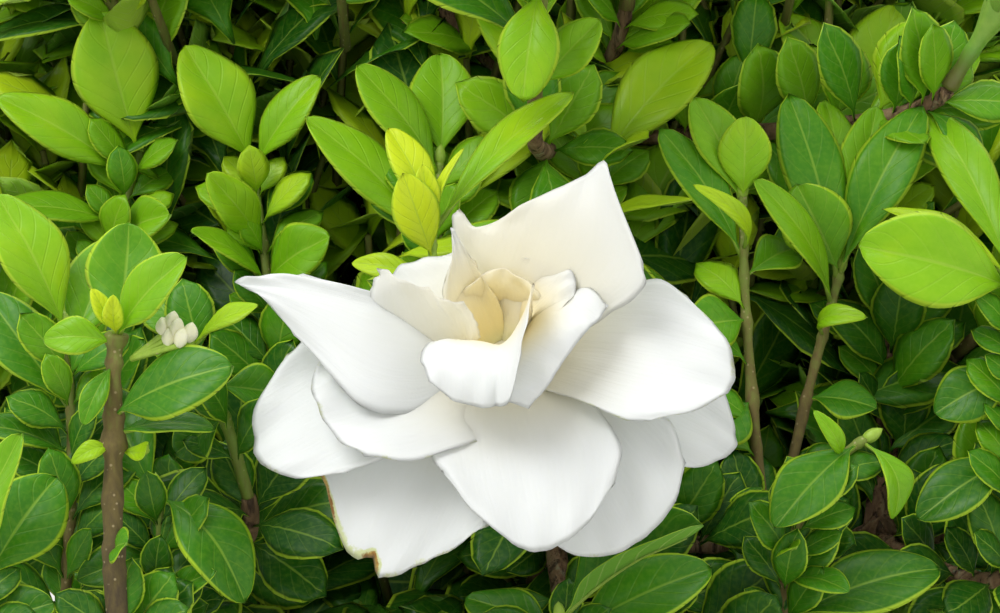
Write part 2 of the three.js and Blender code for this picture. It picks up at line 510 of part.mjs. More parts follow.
// The shoots round the front bloom are set out as they are seen, in mm right of the bloom, up from it and
// nearer. path draws the stem. Each leaf has where it leaves the stem (0 to 1), where its tip is, its width and,
// where that isn't plain, how far it arches and the way it faces.
const FRONT_SHOOTS = {
  left: {
    path: [[-67, -46, 3], [-68, -24, 4], [-68, -2, 5], [-67, 5, 6]],
    leaves: [
      { from: 0.97, to: [-65, 24.5, 2], width: 13.5, bend: -0.05 },
      { from: 0.95, to: [-55, 18.5, 13], width: 10, face: [-0.7, 0.3, 1] },
      { from: 0.99, to: [-71.4, 12.8, 10], width: 3.4 },
      { from: 0.99, to: [-67.7, 11.5, 13], width: 3.6 },
      { from: 0.93, to: [-80, 4, 8], width: 7, bend: 0.2 },
      { from: 0.82, to: [-73, -11, 9], width: 4.5 },
      { from: 0.6, to: [-47, -0.5, 14], width: 13, face: [0.1, 0.6, 1], bend: 0.14 },
      { from: 0.54, to: [-50, -11.5, 4], width: 7, face: [0, 1, 0.6] },
      { from: 0.5, to: [-75, -17.5, 8], width: 3.5, bend: 0.3 },
      { from: 0.5, to: [-62, -14.5, 10], width: 3.5, bend: -0.3 },
      { from: 0.2, to: [-65.5, -31.5, 10], width: 6.5 },
    ],
  },
  left_edge: {
    path: [[-77, -52, -14], [-75, -31, -14], [-74, -13.5, -14], [-76, 5.5, -15]],
    leaves: [
      { from: 0.98, to: [-88, 29.5, -14], width: 12.5, face: [0.5, 0.3, 1] },
      { from: 0.75, to: [-90, 12, -18], width: 11 },
      { from: 0.6, to: [-92, -11, -8], width: 9, face: [0, 1, 0.7] },
      { from: 0.3, to: [-92, -25, -16], width: 13 },
      { from: 0.9, to: [-66, 22, -26], width: 12 },
    ],
  },
  left_low: {
    path: [[-97, -66, 2], [-94, -52, 4], [-90, -38, 5]],
    leaves: [
      { from: 0.98, to: [-84, -12.5, 14], width: 10, face: [-0.9, 0.2, 1] },
      { from: 0.95, to: [-77.5, -20, -3], width: 14, face: [0.3, 0.7, 1] },
      { from: 0.6, to: [-78, -42, 6], width: 11 },
    ],
  },
  left_inner: {
    path: [[-60, -52, -12], [-59, -36, -12], [-60, -23, -12]],
    leaves: [
      { from: 0.97, to: [-44.5, -42, -6], width: 13, face: [0.5, 0.5, 1], bend: 0.3 },
      { from: 0.3, to: [-50, -36.5, 0], width: 6 },
      { from: 0.95, to: [-70, -4, -22], width: 11 },
      { from: 0.6, to: [-74, -38, -6], width: 8 },
    ],
  },
  left_upper: {
    path: [[-44, -24, -30], [-48, -10, -24], [-50.5, -1, -20], [-54, 3, -17]],
    leaves: [
      { from: 0.97, to: [-42.5, 10, -10], width: 6.5, face: [0.2, 1, 0.8] },
      { from: 0.9, to: [-62, 13, -24], width: 9 },
      { from: 0.6, to: [-37, -6, -30], width: 10 },
      { from: 0.4, to: [-57, -16, -26], width: 9 },
    ],
  },
  young: {
    path: [[-12, 0, -34], [-11.5, 12, -32], [-12, 24, -30]],
    leaves: [
      { from: 0.97, to: [-19.5, 41, -30], width: 8, face: [0.5, 0.2, 1] },
      { from: 0.75, to: [-17, 33, -24], width: 8.6 },
      { from: 0.97, to: [-13.5, 34.5, -26], width: 5 },
      { from: 0.85, to: [-6.5, 37.5, -28], width: 3.2, face: [-1, 0.2, 0.6] },
      { from: 0.6, to: [-26, 17.5, -34], width: 5 },
    ],
  },
  behind: {
    path: [[-12, 0, -74], [-11, 20, -73], [-10.5, 35, -72]],
    leaves: [
      { from: 0.6, to: [13, 47.5, -74], width: 11.5, face: [-0.5, 0.4, 1] },
      { from: 0.98, to: [-10.5, 54, -78], width: 13 },
      { from: 0.92, to: [-25, 52, -66], width: 11, face: [0.5, 0.4, 1] },
      { from: 0.5, to: [-34, 43, -66], width: 11.5, face: [0.5, 0.5, 1] },
      { from: 0.3, to: [2, 24, -60], width: 11 },
    ],
  },
  back_left: {
    path: [[-39, 2, -84], [-41.5, 19.5, -86], [-43, 34.5, -88]],
    leaves: [
      { from: 0.97, to: [-31.5, 50, -84], width: 10, face: [-0.5, 0.3, 1] },
      { from: 0.97, to: [-55, 55.5, -84], width: 15, face: [0.4, 0.3, 1] },
      { from: 0.55, to: [-51, 33, -74], width: 9 },
      { from: 0.3, to: [-54, 23, -70], width: 10, face: [0, 1, 0.8] },
      { from: 0.35, to: [-30, 22, -72], width: 12 },
    ],
  },
  far_left: {
    path: [[-70, 8, -88], [-66.5, 25, -92], [-63, 37, -94]],
    leaves: [
      { from: 0.97, to: [-70, 61.5, -90], width: 17 },
      { from: 0.8, to: [-88, 46.5, -84], width: 11, face: [0.4, 0.3, 1] },
      { from: 0.5, to: [-88, 27, -80], width: 11, face: [0, 1, 0.8] },
      { from: 0.4, to: [-58, 26, -78], width: 11 },
    ],
  },
  right_inner: {
    path: [[46, -26, -54], [43.5, -3, -56], [42.5, 14, -57], [42.5, 29, -58]],
    leaves: [
      { from: 0.98, to: [43, 43, -56], width: 10 },
      { from: 0.8, to: [34, 31, -42], width: 4, bend: 0.25 },
      { from: 0.55, to: [33, 6, -50], width: 11 },
      { from: 0.3, to: [36, -14, -50], width: 11 },
      { from: 0.7, to: [52, 20, -70], width: 9 },
    ],
  },
  right: {
    path: [[49, -28, -66], [52.5, -8.5, -66], [57.5, 7.5, -66], [59.5, 16, -67]],
    leaves: [
      { from: 0.8, to: [44.5, 32, -54], width: 8.5, face: [0.9, 0.2, 1] },
      { from: 0.98, to: [52, 31, -64], width: 13.5, face: [-0.3, 0.4, 1] },
      { from: 0.95, to: [57, 46, -82], width: 12, face: [0.4, 0.4, 1] },
      { from: 0.95, to: [66, 45, -84], width: 11 },
      { from: 0.65, to: [64, 8, -54], width: 5, bend: 0.35 },
      { from: 0.4, to: [66, -8, -62], width: 12, face: [0, 1, 0.7] },
    ],
  },
  right_edge: {
    path: [[90, -34, -50], [91, -12, -50], [91, 1, -50], [90, 14, -50]],
    leaves: [
      { from: 0.96, to: [62.5, 20.5, -42], width: 18, face: [0.1, 0.3, 1], bend: 0.16 },
      { from: 0.99, to: [67, 27, -56], width: 8, face: [0, 1, 0.5] },
      { from: 0.98, to: [75, 44.5, -72], width: 10 },
      { from: 0.3, to: [73, -27.5, -46], width: 11, face: [0, 0.8, 1] },
      { from: 0.6, to: [76, -9, -50], width: 11 },
    ],
  },
  right_low: {
    path: [[50, -54, -36], [47.5, -35, -34], [52.5, -20.5, -33], [64, -13.5, -34]],
    leaves: [
      { from: 0.96, to: [48, -29, -22], width: 11.5, face: [-0.2, 0.5, 1] },
      { from: 0.98, to: [69, -27.5, -34], width: 7, bend: 0.35, face: [0.6, 0.4, 1] },
      { from: 0.85, to: [55, -8.5, -28], width: 3.5, bend: 0.3 },
      { from: 0.36, to: [52, -32, -22], width: 5 },
      { from: 0.3, to: [61, -40, -24], width: 7.5, face: [0, 1, 0.7] },
      { from: 0.15, to: [77, -36, -40], width: 15, face: [0, 1, 0.9] },
    ],
  },
  below: {
    path: [[13, -64, -28], [11.5, -54, -23], [10.5, -45, -18]],
    leaves: [
      { from: 0.98, to: [35.5, -28.5, -8], width: 17, face: [-0.45, 1, 0.5], bend: 0.1 },
      { from: 0.8, to: [37, -36, -24], width: 13, face: [0.1, 0.8, 1] },
      { from: 0.8, to: [-6, -41, -26], width: 11, face: [0, 1, 0.8] },
      { from: 0.3, to: [28, -52, -12], width: 12 },
    ],
  },
  back_right: {
    path: [[11, 0, -84], [14, 20, -83], [17.5, 34.5, -82]],
    leaves: [
      { from: 0.9, to: [26, 39.5, -66], width: 10, face: [0, 1, 0.8] },
      { from: 0.5, to: [33.5, 28.5, -52], width: 6, face: [0, 1, 0.9] },
      { from: 0.98, to: [37, 56, -86], width: 15, face: [-0.3, 0.4, 1] },
      { from: 0.98, to: [-4, 63, -90], width: 13, face: [0.4, 0.4, 1] },
      { from: 0.3, to: [30, 12, -76], width: 12 },
    ],
  },
  far_right: {
    path: [[68, 8, -98], [66.5, 26, -100], [62, 42, -101]],
    leaves: [
      { from: 0.98, to: [69.5, 62.5, -100], width: 15 },
      { from: 0.9, to: [49, 61, -98], width: 14, face: [0.4, 0.4, 1] },
      { from: 0.6, to: [77, 35.5, -84], width: 8 },
      { from: 0.9, to: [84, 54, -96], width: 12, face: [-0.4, 0.4, 1] },
    ],
  },
};
const NEARER = [0, 3, -3, 6, -6, 9, -9, 13, -13]; // where the tip may move to where its first place is taken

function frontShoots() {
  return Object.entries(FRONT_SHOOTS).map(([name, { path, leaves }]) => {
    const points = path.map((place) => seen(...place));
    const places = leaves.map(({ from, to, face = [0, 0.45, 1], width, bend }) => {
      const base = onCurve(points, from).at;
      const [right, up, near] = to;
      const rest = { base, face: seenWay(...face), width, bend };
      return NEARER.map((more) => ({ ...rest, tip: seen(right, up, near + more) }));
    });
    return { name: 'front_shoot_' + name, points, leaves: places };
  });
}

// ---------------------------------------------------------------- trunk
// The trunk forks into scaffold branches, and a twig leads from the nearest point of one to each end.
function trunk(ends) {
  const fork = vec(4, 3, TRUNK.top);
  const foot = soilTop + SOIL.dome - TRUNK.sunk;
  const bole = [vec(0, 0, foot), vec(0, 0, soilTop + 8), fork];
  const pieces = [stem(bole, TRUNK.radius, TRUNK.radius * 0.8, TRUNK.sides, 3)];
  const starts = [];
  for (let i = 0; i <= SCAFFOLD.count; i++) {
    const upright = i === SCAFFOLD.count;
    const round = (2 * PI * i) / SCAFFOLD.count + 0.3;
    const reach = upright ? 12 : SCAFFOLD.reach;
    const climb = upright ? 120 : 48 + 26 * (i % 2);
    const end = fork.clone().add(vec(reach * cos(round), reach * sin(round), climb));
    const elbow = fork.clone().lerp(end, 0.5).add(vec(0, 0, -16));
    const points = [fork.clone().setZ(TRUNK.top - 8 - 5 * (i % 4)), elbow, end];
    pieces.push(stem(points, SCAFFOLD.radius, SCAFFOLD.tipRadius, SCAFFOLD.sides, SCAFFOLD.steps));
    for (let t = 0.3; t < 0.97; t += 0.02) starts.push(onCurve(points, t).at);
  }
  for (const { at, way, radius } of ends) {
    const bend = at.clone().addScaledVector(way, -TWIG.straight);
    const start = starts.reduce((a, b) => (b.distanceTo(bend) < a.distanceTo(bend) ? b : a));
    const points = [start, bend, at.clone().addScaledVector(way, -GAP)];
    pieces.push(stem(points, TWIG.radius, radius, TWIG.sides, TWIG.steps));
  }
  return fused(pieces);
}

// ---------------------------------------------------------------- keeping nodes clear of each other
const taken = []; // every solid placed so far, with its node's name and its box

function take(node, body) {
  taken.push({ node, body, box: body.boundingBox() });
}

const apart = (a, b) => [0, 1, 2].some((k) => a.min[k] > b.max[k] || b.min[k] > a.max[k]);

function isFree(node, body) {
  const box = body.boundingBox();
  const others = taken.filter((other) => other.node !== node && !apart(box, other.box));
  return others.every((other) => body.intersect(other.body).isEmpty());
}

// A shoot's stem with each of its leaves in the first place that is free. A leaf with none is left out.
function leafyShoot({ name, body, leaves }) {
  let shoot = body;
  for (const places of leaves) {
    for (const place of places) {
      if (name.startsWith('shoot') && inFront(place.tip)) continue;
      if (!isFree(name, leaf(place, LEAF.clearance))) continue;
      const joined = fused([shoot, leaf(place)]);
      if (!joined) continue;
      take(name, leaf(place));
      shoot = joined;
      break;
    }
  }
  return shoot;
}

// ---------------------------------------------------------------- the potted plant
const gardenia = new THREE.Group();

const CLAY = { color: '#b5674a', roughness: 0.9 };
const EARTH = { color: '#3b2a20', roughness: 1 };
const BARK = { color: '#7a6147', roughness: 0.9 };
const LEAF_GREEN = { color: '#3f7d24', roughness: 0.35 };
const WHITE = { color: '#f4f4ee', roughness: 0.5 };
const GREENISH_WHITE = { color: '#d9e3b0', roughness: 0.5 };

function add(name, body, finish) {
  const mesh = new THREE.Mesh(geometryOf(body), new THREE.MeshStandardMaterial({ ...finish, metalness: 0 }));
  mesh.name = name;
  gardenia.add(mesh);
}

add('pot', pot(), CLAY);
add('soil', soil(), EARTH);

for (const flower of FLOWERS) {
  const closed = flower.opened === 'not';
  const head = closed ? bud(flower) : bloom(flower);
  const cup = calyx(flower);
  take(flower.name, head);
  take(flower.name + '_calyx', cup);
  add(flower.name, head, closed ? GREENISH_WHITE : WHITE);
  add(flower.name + '_calyx', cup, LEAF_GREEN);
}

const shoots = [...frontShoots(), ...crownShoots()];
const shootEnds = shoots.map(({ points }) => ({ ...onCurve(points, 0), radius: SHOOT.radius }));
const flowerEnds = FLOWERS.map(({ at, way, size }) => {
  const down = (CALYX.below + CALYX.length + CALYX.stem) * size + GAP;
  return { at: at.clone().addScaledVector(way, -down), way, radius: CALYX.stemRadius * size };
});
const wood = trunk([...shootEnds, ...flowerEnds]);
take('trunk', wood);
add('trunk', wood, BARK);

for (const shoot of shoots) {
  shoot.body = stem(shoot.points, SHOOT.radius, SHOOT.tipRadius, SHOOT.sides, shoot.points.length);
  take(shoot.name, shoot.body);
}
for (const shoot of shoots) add(shoot.name, leafyShoot(shoot), LEAF_GREEN);

export default gardenia;
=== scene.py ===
"""A gardenia in a clay pot: its leaves, blooms, buds, wood, pot and soil, finer than the solids of its frame.

Shapes are worked out in millimetres in the frame of the model and scaled to metres when a piece is finished.
"""

import functools
from math import asin, cos, exp, floor, hypot, pi, radians, sin, sqrt
from types import SimpleNamespace as Sizes

import bmesh
import bpy
from bpy.props import FloatProperty, FloatVectorProperty, IntProperty, PointerProperty
from mathutils import Matrix, Vector, noise
from mathutils.kdtree import KDTree


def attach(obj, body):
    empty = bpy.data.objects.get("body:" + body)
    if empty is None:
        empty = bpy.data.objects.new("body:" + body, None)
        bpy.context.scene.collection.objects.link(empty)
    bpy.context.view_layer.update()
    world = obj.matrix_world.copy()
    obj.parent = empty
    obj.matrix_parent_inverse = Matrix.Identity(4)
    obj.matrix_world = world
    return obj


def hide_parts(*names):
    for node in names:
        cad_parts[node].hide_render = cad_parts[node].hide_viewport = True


bl_info = {
    "name": "Potted gardenia",
    "version": (1, 0, 0),
    "blender": (4, 5, 0),
    "location": "3D View > Sidebar > Gardenia",
    "description": "Models the leaves, blooms, buds, wood, pot and soil of a gardenia round its frame",
    "category": "Add Mesh",
}

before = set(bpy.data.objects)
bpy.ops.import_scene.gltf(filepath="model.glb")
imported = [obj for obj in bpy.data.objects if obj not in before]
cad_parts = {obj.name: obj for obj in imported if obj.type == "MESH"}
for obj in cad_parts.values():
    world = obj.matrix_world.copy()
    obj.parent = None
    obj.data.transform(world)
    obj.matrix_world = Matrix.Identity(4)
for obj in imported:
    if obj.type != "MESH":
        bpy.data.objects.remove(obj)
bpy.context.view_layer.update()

MM = 0.001
UP = Vector((0, 0, 1))

# ---------------------------------------------------------------- sizes of the frame, in mm and degrees
POT = Sizes(height=150, rim_radius=86, rim_depth=24, shoulder=78, foot=57, wall=6, floor=9)
DRAINS = Sizes(count=3, radius=5, ring=30)
SOIL = Sizes(top=135, dome=5, radius=76)
TRUNK_RADIUS = 6.5
FORK = Vector((4, 3, 176))
SCAFFOLDS = Sizes(count=7, reach=92)
TWIG_STRAIGHT = 12
CROWN = Sizes(centre=250, radius=146, rise=136, drop=104, low=-14, high=84)
SHOOT = Sizes(count=25, length=60, radius=1.5, tip=0.9)
LEAF = Sizes(length=37, width=18, thick=0.5)
FRONT_BLOOM = Vector((0, -118, 290))
BLOOM_LEAN = radians(35)
EYE = Sizes(down=radians(22), away=500, up=9.7)  # how the photo is seen, from above the front bloom
CALYX = Sizes(below=9, length=13, radius=3.6, stem_radius=1.6, stem=12)
BUD = Sizes(length=27, radius=6.4)
GAP = 0.3
MOST_FACES = 60000  # a piece of foliage that has more is closed, and the next one is begun
SEEDS = Sizes(front=0, crown=3000, inner=9000, wood=19900, spurs=20000)  # the first number of each kind's leaves


# ---------------------------------------------------------------- small helpers
def linear(code):
    """The linear colour of an sRGB hex value such as #b5674a."""
    parts = [int(code[i : i + 2], 16) / 255 for i in (1, 3, 5)]
    return [c / 12.92 if c <= 0.04045 else ((c + 0.055) / 1.055) ** 2.4 for c in parts] + [1.0]


def mix(a, b, t):
    return a + (b - a) * t


def smooth(low, high, x):
    """Eases from 0 at low to 1 at high."""
    t = min(max((x - low) / (high - low), 0), 1)
    return t * t * (3 - 2 * t)


def swell(t, middle, spread):
    """A smooth swelling that is 1 at its middle."""
    return exp(-(((t - middle) / spread) ** 2))


def scatter(a, b):
    """A repeatable draw from -1 to 1 for the pair of numbers a, b."""
    s = sin(a * 12.9898 + b * 78.233) * 43758.5453
    return 2 * (s - floor(s)) - 1


def polar(r, angle, z=0):
    return Vector((r * cos(angle), r * sin(angle), z))


def through(values, t):
    """A smooth line through evenly spaced values, read at t from 0 to 1."""
    last = len(values) - 1
    u = min(max(t, 0), 1) * last
    i = min(int(u), last - 1)
    f = u - i
    b, c = values[i], values[i + 1]
    a = values[i - 1] if i > 0 else 2 * b - c
    d = values[i + 2] if i + 2 <= last else 2 * c - b
    return 0.5 * (2 * b + (c - a) * f + (2 * a - 5 * b + 4 * c - d) * f * f + (3 * b - a - 3 * c + d) * f**3)


def on_curve(points, t):
    """The point at t, and the way on from there, of the curve that points draw towards themselves."""
    row = list(points)
    while len(row) > 2:
        row = [a.lerp(b, t) for a, b in zip(row, row[1:])]
    return row[0].lerp(row[1], t), (row[1] - row[0]).normalized()


def seen_way(right, up, near):
    """A direction as the eye in front of the bush sees it: to the right, up and nearer."""
    e = EYE.down
    return Vector((right, up * sin(e) - near * cos(e), up * cos(e) + near * sin(e)))


def seen(right, up, near):
    """The point nearer than the front bloom by near that is seen right of it and up from it by so much."""
    spread = (EYE.away - near) / EYE.away
    return FRONT_BLOOM + seen_way(right * spread, EYE.up + (up - EYE.up) * spread, near)


def seen_at(point):
    """The other way round: where a point is seen, as right, up and near."""
    p, e = point - FRONT_BLOOM, EYE.down
    near = -p.y * cos(e) + p.z * sin(e)
    spread = (EYE.away - near) / EYE.away
    return p.x / spread, EYE.up + (p.y * sin(e) + p.z * cos(e) - EYE.up) / spread, near


# ---------------------------------------------------------------- mesh helpers
SCRATCH = bpy.data.meshes.new("scratch")  # holds one part of a shape while it is added


class Shape:
    """A mesh in the making, in mm, with the UV map and the vertex values that its materials read."""

    def __init__(self, *values):
        self.bm, self.values = bmesh.new(), values
        self.bm.loops.layers.uv.new("surface")
        for name in values:
            self.bm.verts.layers.float.new(name)

    def grid(self, columns, rows, place, slot, values=None, wrap=None):
        """Adds a grid that is shaped by place(x, y), both from -1 to 1, and closes its seams and poles.

        slot is the material's index, or a function of x that gives it. values are numbers for the vertex values,
        or functions of x and y. wrap(x, y) gives the UV, which is otherwise x and y themselves from 0 to 1.
        """
        bm = bmesh.new()
        surface = bm.loops.layers.uv.new("surface")
        layers = {name: bm.verts.layers.float.new(name) for name in self.values}
        verts = bmesh.ops.create_grid(bm, x_segments=columns, y_segments=rows, size=1)["verts"]
        at = {v: (v.co.x, v.co.y) for v in verts}
        for face in bm.faces:
            middle = sum(at[v][0] for v in face.verts) / len(face.verts)
            face.material_index = slot(middle) if callable(slot) else slot
            face.smooth = True
            for loop in face.loops:
                x, y = at[loop.vert]
                loop[surface].uv = wrap(x, y) if wrap else ((x + 1) / 2, (y + 1) / 2)
        for v, (x, y) in at.items():
            v.co = place(x, y)
            for name, value in (values or {}).items():
                v[layers[name]] = value(x, y) if callable(value) else value
        bmesh.ops.remove_doubles(bm, verts=verts, dist=1e-3)
        bm.to_mesh(SCRATCH)
        bm.free()
        self.bm.from_mesh(SCRATCH)

    def sheet(self, columns, rows, place, slots, values):
        """Adds a closed sheet. place(s, t, side) is a point of its upper (1) or lower (-1) face, s from -1 to 1
        across it and t from 0 to 1 along it. The two faces meet at its margin. slots are their materials."""

        def at(x, y):
            return 1 - 2 * abs(x), (y + 1) / 2, (1 if x <= 0 else -1)

        def shaped(value):
            return (lambda x, y: value(*at(x, y)[:2])) if callable(value) else value

        self.grid(
            2 * columns, rows, lambda x, y: place(*at(x, y)), lambda x: slots[0 if x < 0 else 1],
            {name: shaped(value) for name, value in values.items()}, lambda x, y: (1 - abs(x), (y + 1) / 2),
        )

    def tube(self, line, radius, sides, rows, slot, values=None):
        """Adds a closed stem round line(t), t from 0 to 1, of radius(t, round)."""
        whole = line(1) - line(0)
        aside = Vector((1, 0, 0)) if abs(whole.z) > 0.8 * whole.length else UP
        rings = []
        for i in range(rows + 1):
            t = i / rows
            way = (line(min(t + 0.02, 1)) - line(max(t - 0.02, 0))).normalized()
            u = way.cross(aside).normalized()
            rings.append((line(t), u, way.cross(u)))

        def place(x, y):
            step = round((y + 1) / 2 * (rows + 2)) - 1
            i = min(max(step, 0), rows)
            middle, u, v = rings[i]
            if step != i:
                return middle
            angle = pi * x
            return middle + (u * cos(angle) + v * sin(angle)) * radius(i / rows, angle % (2 * pi))

        self.grid(sides, rows + 2, place, slot, values)

    def turned(self, sides, rows, profile, values=None):
        """Adds a closed form turned round Z. profile(t, round) gives its radius and height, t from 0 to 1."""

        def place(x, y):
            r, z = profile((y + 1) / 2, pi * x % (2 * pi))
            return polar(r, pi * x, z)

        self.grid(sides, rows, place, 0, values)

    def move(self, matrix, since=0):
        """Moves what has been added since there were that many vertices."""
        self.bm.verts.ensure_lookup_table()
        bmesh.ops.transform(self.bm, matrix=matrix, verts=self.bm.verts[since:])

    def finish(self, name, materials, slot, *nodes):
        """Makes the shape a piece in metres that rides on the body and stands for the frame's nodes."""
        return piece_of(self.bm, name, materials, slot, *nodes)


def mesh_of(bm, name):
    mesh = bpy.data.meshes.new(name)
    bm.to_mesh(mesh)
    bm.free()
    made = bpy.data.objects.new(name, mesh)
    bpy.context.scene.collection.objects.link(made)
    return made


def piece_of(bm, name, materials, slot, *nodes):
    bmesh.ops.scale(bm, vec=(MM, MM, MM), verts=bm.verts[:])
    piece = mesh_of(bm, name)
    for material in materials:
        piece.data.materials.append(material)
    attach(piece, "root")
    if nodes:
        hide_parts(*nodes)
    return piece


# ---------------------------------------------------------------- materials
PLAIN = {"MapRange": {"interpolation_type": "SMOOTHSTEP"}, "Mix": {"data_type": "RGBA"}}  # settings of these nodes
VEINS = 7  # pairs of side veins on a leaf
VEIN_SLANT = 0.3  # how much further along a side vein is at the margin, as a share of the leaf
ALONG = (1, 1, 0.3)  # squashes a noise into streaks along what stands upright


def add_node(tree, kind, *values, out=None, stops=(), **named):
    """Adds a shader node and gives its output, the one that out names or else its first.

    values go to its inputs in use, in their order. A name with a capital is an input too, with _ for a space,
    and any other is a setting. Each is a link, a value or a colour's hex code. stops are those of a ramp."""
    made = tree.nodes.new("ShaderNode" + kind)
    named.update(PLAIN.get(kind, {}))
    for key in [key for key in named if key.islower()]:
        setattr(made, key, named.pop(key))
    inputs = [*zip([socket for socket in made.inputs if socket.enabled], values)]
    inputs += [(made.inputs[key.replace("_", " ")], value) for key, value in named.items()]
    for socket, value in inputs:
        if isinstance(value, bpy.types.NodeSocket):
            tree.links.new(value, socket)
        else:
            socket.default_value = linear(value) if isinstance(value, str) else value
    if stops:
        elements = made.color_ramp.elements
        while len(elements) < len(stops):
            elements.new(0.5)
        for element, (position, shade) in zip(elements, stops):
            element.position, element.color = position, linear(shade) if isinstance(shade, str) else shade
    return made.outputs[out] if out else next((socket for socket in made.outputs if socket.enabled), None)


def finish(name):
    """Turns a function that works out a shader's inputs into one that gives the material of this name."""

    def named(inputs):
        @functools.wraps(inputs)
        def material(settings):
            made = bpy.data.materials.get(name)
            if not made:
                made = bpy.data.materials.new(name)
                made.use_nodes = True
                made.node_tree.nodes.clear()
                add = functools.partial(add_node, made.node_tree)
                add("OutputMaterial", Surface=add("BsdfPrincipled", **inputs(add, settings)))
            return made

        return material

    return named


def per_mm(size):
    """The scale of a pattern in object coordinates whose features are this many millimetres."""
    return 1 / (size * MM)


def speckle(add, size, detail=3, rough=0.5, squash=None):
    """A noise over the object with features of this many millimetres."""
    where = add("TexCoord", out="Object")
    if squash:
        where = add("Mapping", where, Scale=squash)
    return add("TexNoise", where, per_mm(size), detail, rough)


def uneven(add, name, pattern, by):
    """A value that is painted on the vertices, made uneven by a pattern."""
    painted = add("Attribute", attribute_name=name, out="Fac")
    return add("Math", painted, add("Math", pattern, by, -by / 2, operation="MULTIPLY_ADD"), operation="ADD")


def leaf_pattern(add):
    """How near a place on a leaf is to a side vein, the midrib and the margin, from 0 to 1."""
    where = add("UVMap", uv_map="surface")
    across = add("Math", add("SeparateXYZ", where), 2, -1, operation="MULTIPLY_ADD")
    side = add("Math", across, operation="ABSOLUTE")
    along = add("Math", side, -VEIN_SLANT, add("SeparateXYZ", where, out="Y"), operation="MULTIPLY_ADD")
    apart = add("Math", add("Math", along, VEINS, operation="MULTIPLY"), 0.5, operation="PINGPONG")
    ranges = (apart, 0.1, 0), (side, 0.06, 0.012), (side, 0.87, 0.94)
    return [add("MapRange", *each) for each in ranges]


@finish("Waxy leaf")
def waxy_leaf(add, leaf):
    """Gardenia leaf, upper face: a thick waxy cuticle that mirrors the sky, over a green that deepens with age.
    The age also holds painted shade and light: it is raised low in the bush and lowered high up.

    The veins lie in shallow grooves and are paler, and a thin translucent margin shows as a pale line."""
    veins, midrib, margin = leaf_pattern(add)
    mottle, fine = speckle(add, 9), speckle(add, 0.9, 2)
    ages = [(0, leaf.new_leaf), (0.3, leaf.young_leaf), (0.62, leaf.leaf), (1, leaf.old_leaf)]
    # the age holds painted shade and light as well as the leaf's real age
    green = add("ValToRGB", uneven(add, "age", mottle, 0.24), stops=ages)
    green = add("Mix", add("MapRange", fine, 0.35, 0.75, 0, 0.1), green, "#a9cf3a")
    lines = [add("Math", line, by, operation="MULTIPLY") for line, by in ((veins, 0.1), (midrib, 0.4))]
    green = add("Mix", add("Math", *lines, operation="MAXIMUM"), green, leaf.vein)
    green = add("Mix", add("Math", margin, 0.88, operation="MULTIPLY"), green, leaf.margin)
    grooves = add("Math", veins, midrib, operation="MAXIMUM")
    height = add("Math", add("Math", fine, 0.22, operation="MULTIPLY"), grooves, operation="SUBTRACT")
    return dict(
        Base_Color=green, Roughness=add("MapRange", mottle, 0.3, 0.7, 0.34, 0.46), IOR=1.42,
        Specular_IOR_Level=0.3, Coat_Weight=0.08, Coat_Roughness=0.22,
        Normal=add("Bump", Height=height, Distance=0.08 * MM, Strength=0.7),
    )


@finish("Leaf underside")
def leaf_back(add, leaf):
    """Gardenia leaf, lower face: matt and paler, with a raised net of veins."""
    veins, _, margin = leaf_pattern(add)
    # the age holds painted shade and light here too, as on the upper face
    age = uneven(add, "age", speckle(add, 7), 0.2)
    green = add("ValToRGB", age, stops=[(0, "#c6de4c"), (0.4, "#86b834"), (1, "#5f9636")])
    green = add("Mix", add("Math", veins, 0.4, operation="MULTIPLY"), green, "#bcd07c")
    green = add("Mix", add("Math", margin, 0.5, operation="MULTIPLY"), green, leaf.margin)
    net = add("Math", veins, speckle(add, 0.7, 2), operation="ADD")
    bump = add("Bump", Height=net, Distance=0.12 * MM, Strength=0.6)
    return dict(Base_Color=green, Roughness=0.58, IOR=1.42, Normal=bump)


@finish("Green stem")
def green_stem(add, leaf):
    """Young gardenia stem and midrib: green skin that turns tan and corky as it ages, with pale pores."""
    streak = speckle(add, 1.2, 4, 0.6, ALONG)
    age = uneven(add, "age", streak, 0.5)
    skin = add("ValToRGB", age, stops=[(0, "#a6c848"), (0.4, "#7c9636"), (0.7, "#76683a"), (1, "#4e4230")])
    pores = add("TexVoronoi", add("TexCoord", out="Object"), per_mm(1.6))
    skin = add("Mix", add("MapRange", pores, 0.2, 0.1, 0, 0.5), skin, "#c9b78c")
    rough = add("MapRange", age, 0.2, 0.8, 0.45, 0.85)
    bump = add("Bump", Height=streak, Distance=0.3 * MM, Strength=0.7)
    return dict(Base_Color=skin, Roughness=rough, IOR=1.45, Normal=bump)


@finish("Woody bark")
def woody_bark(add, wood):
    """Gardenia wood: thin grey-brown bark, split along the stem into corky flakes, with lichen on its old part."""
    flakes, cracks = speckle(add, 3, 5, 0.65, (1, 1, 0.28)), speckle(add, 1.4, 3, 0.6, (1, 1, 0.16))
    bark = add("ValToRGB", flakes, stops=[(0.25, wood.bark_dark), (0.5, wood.bark), (0.75, wood.bark_pale)])
    bark = add("Mix", add("MapRange", cracks, 0.44, 0.34, 0, 0.8), bark, "#33261c")
    lichen = add("MapRange", speckle(add, 6, 5, 0.7), 0.58, 0.68, 0, 0.7)
    bark = add("Mix", lichen, bark, "#9aa382")
    height = add("Math", flakes, add("MapRange", cracks, 0.34, 0.5), operation="ADD")
    return dict(Base_Color=bark, Roughness=0.88, IOR=1.45, Normal=add("Bump", Height=height, Distance=0.8 * MM))


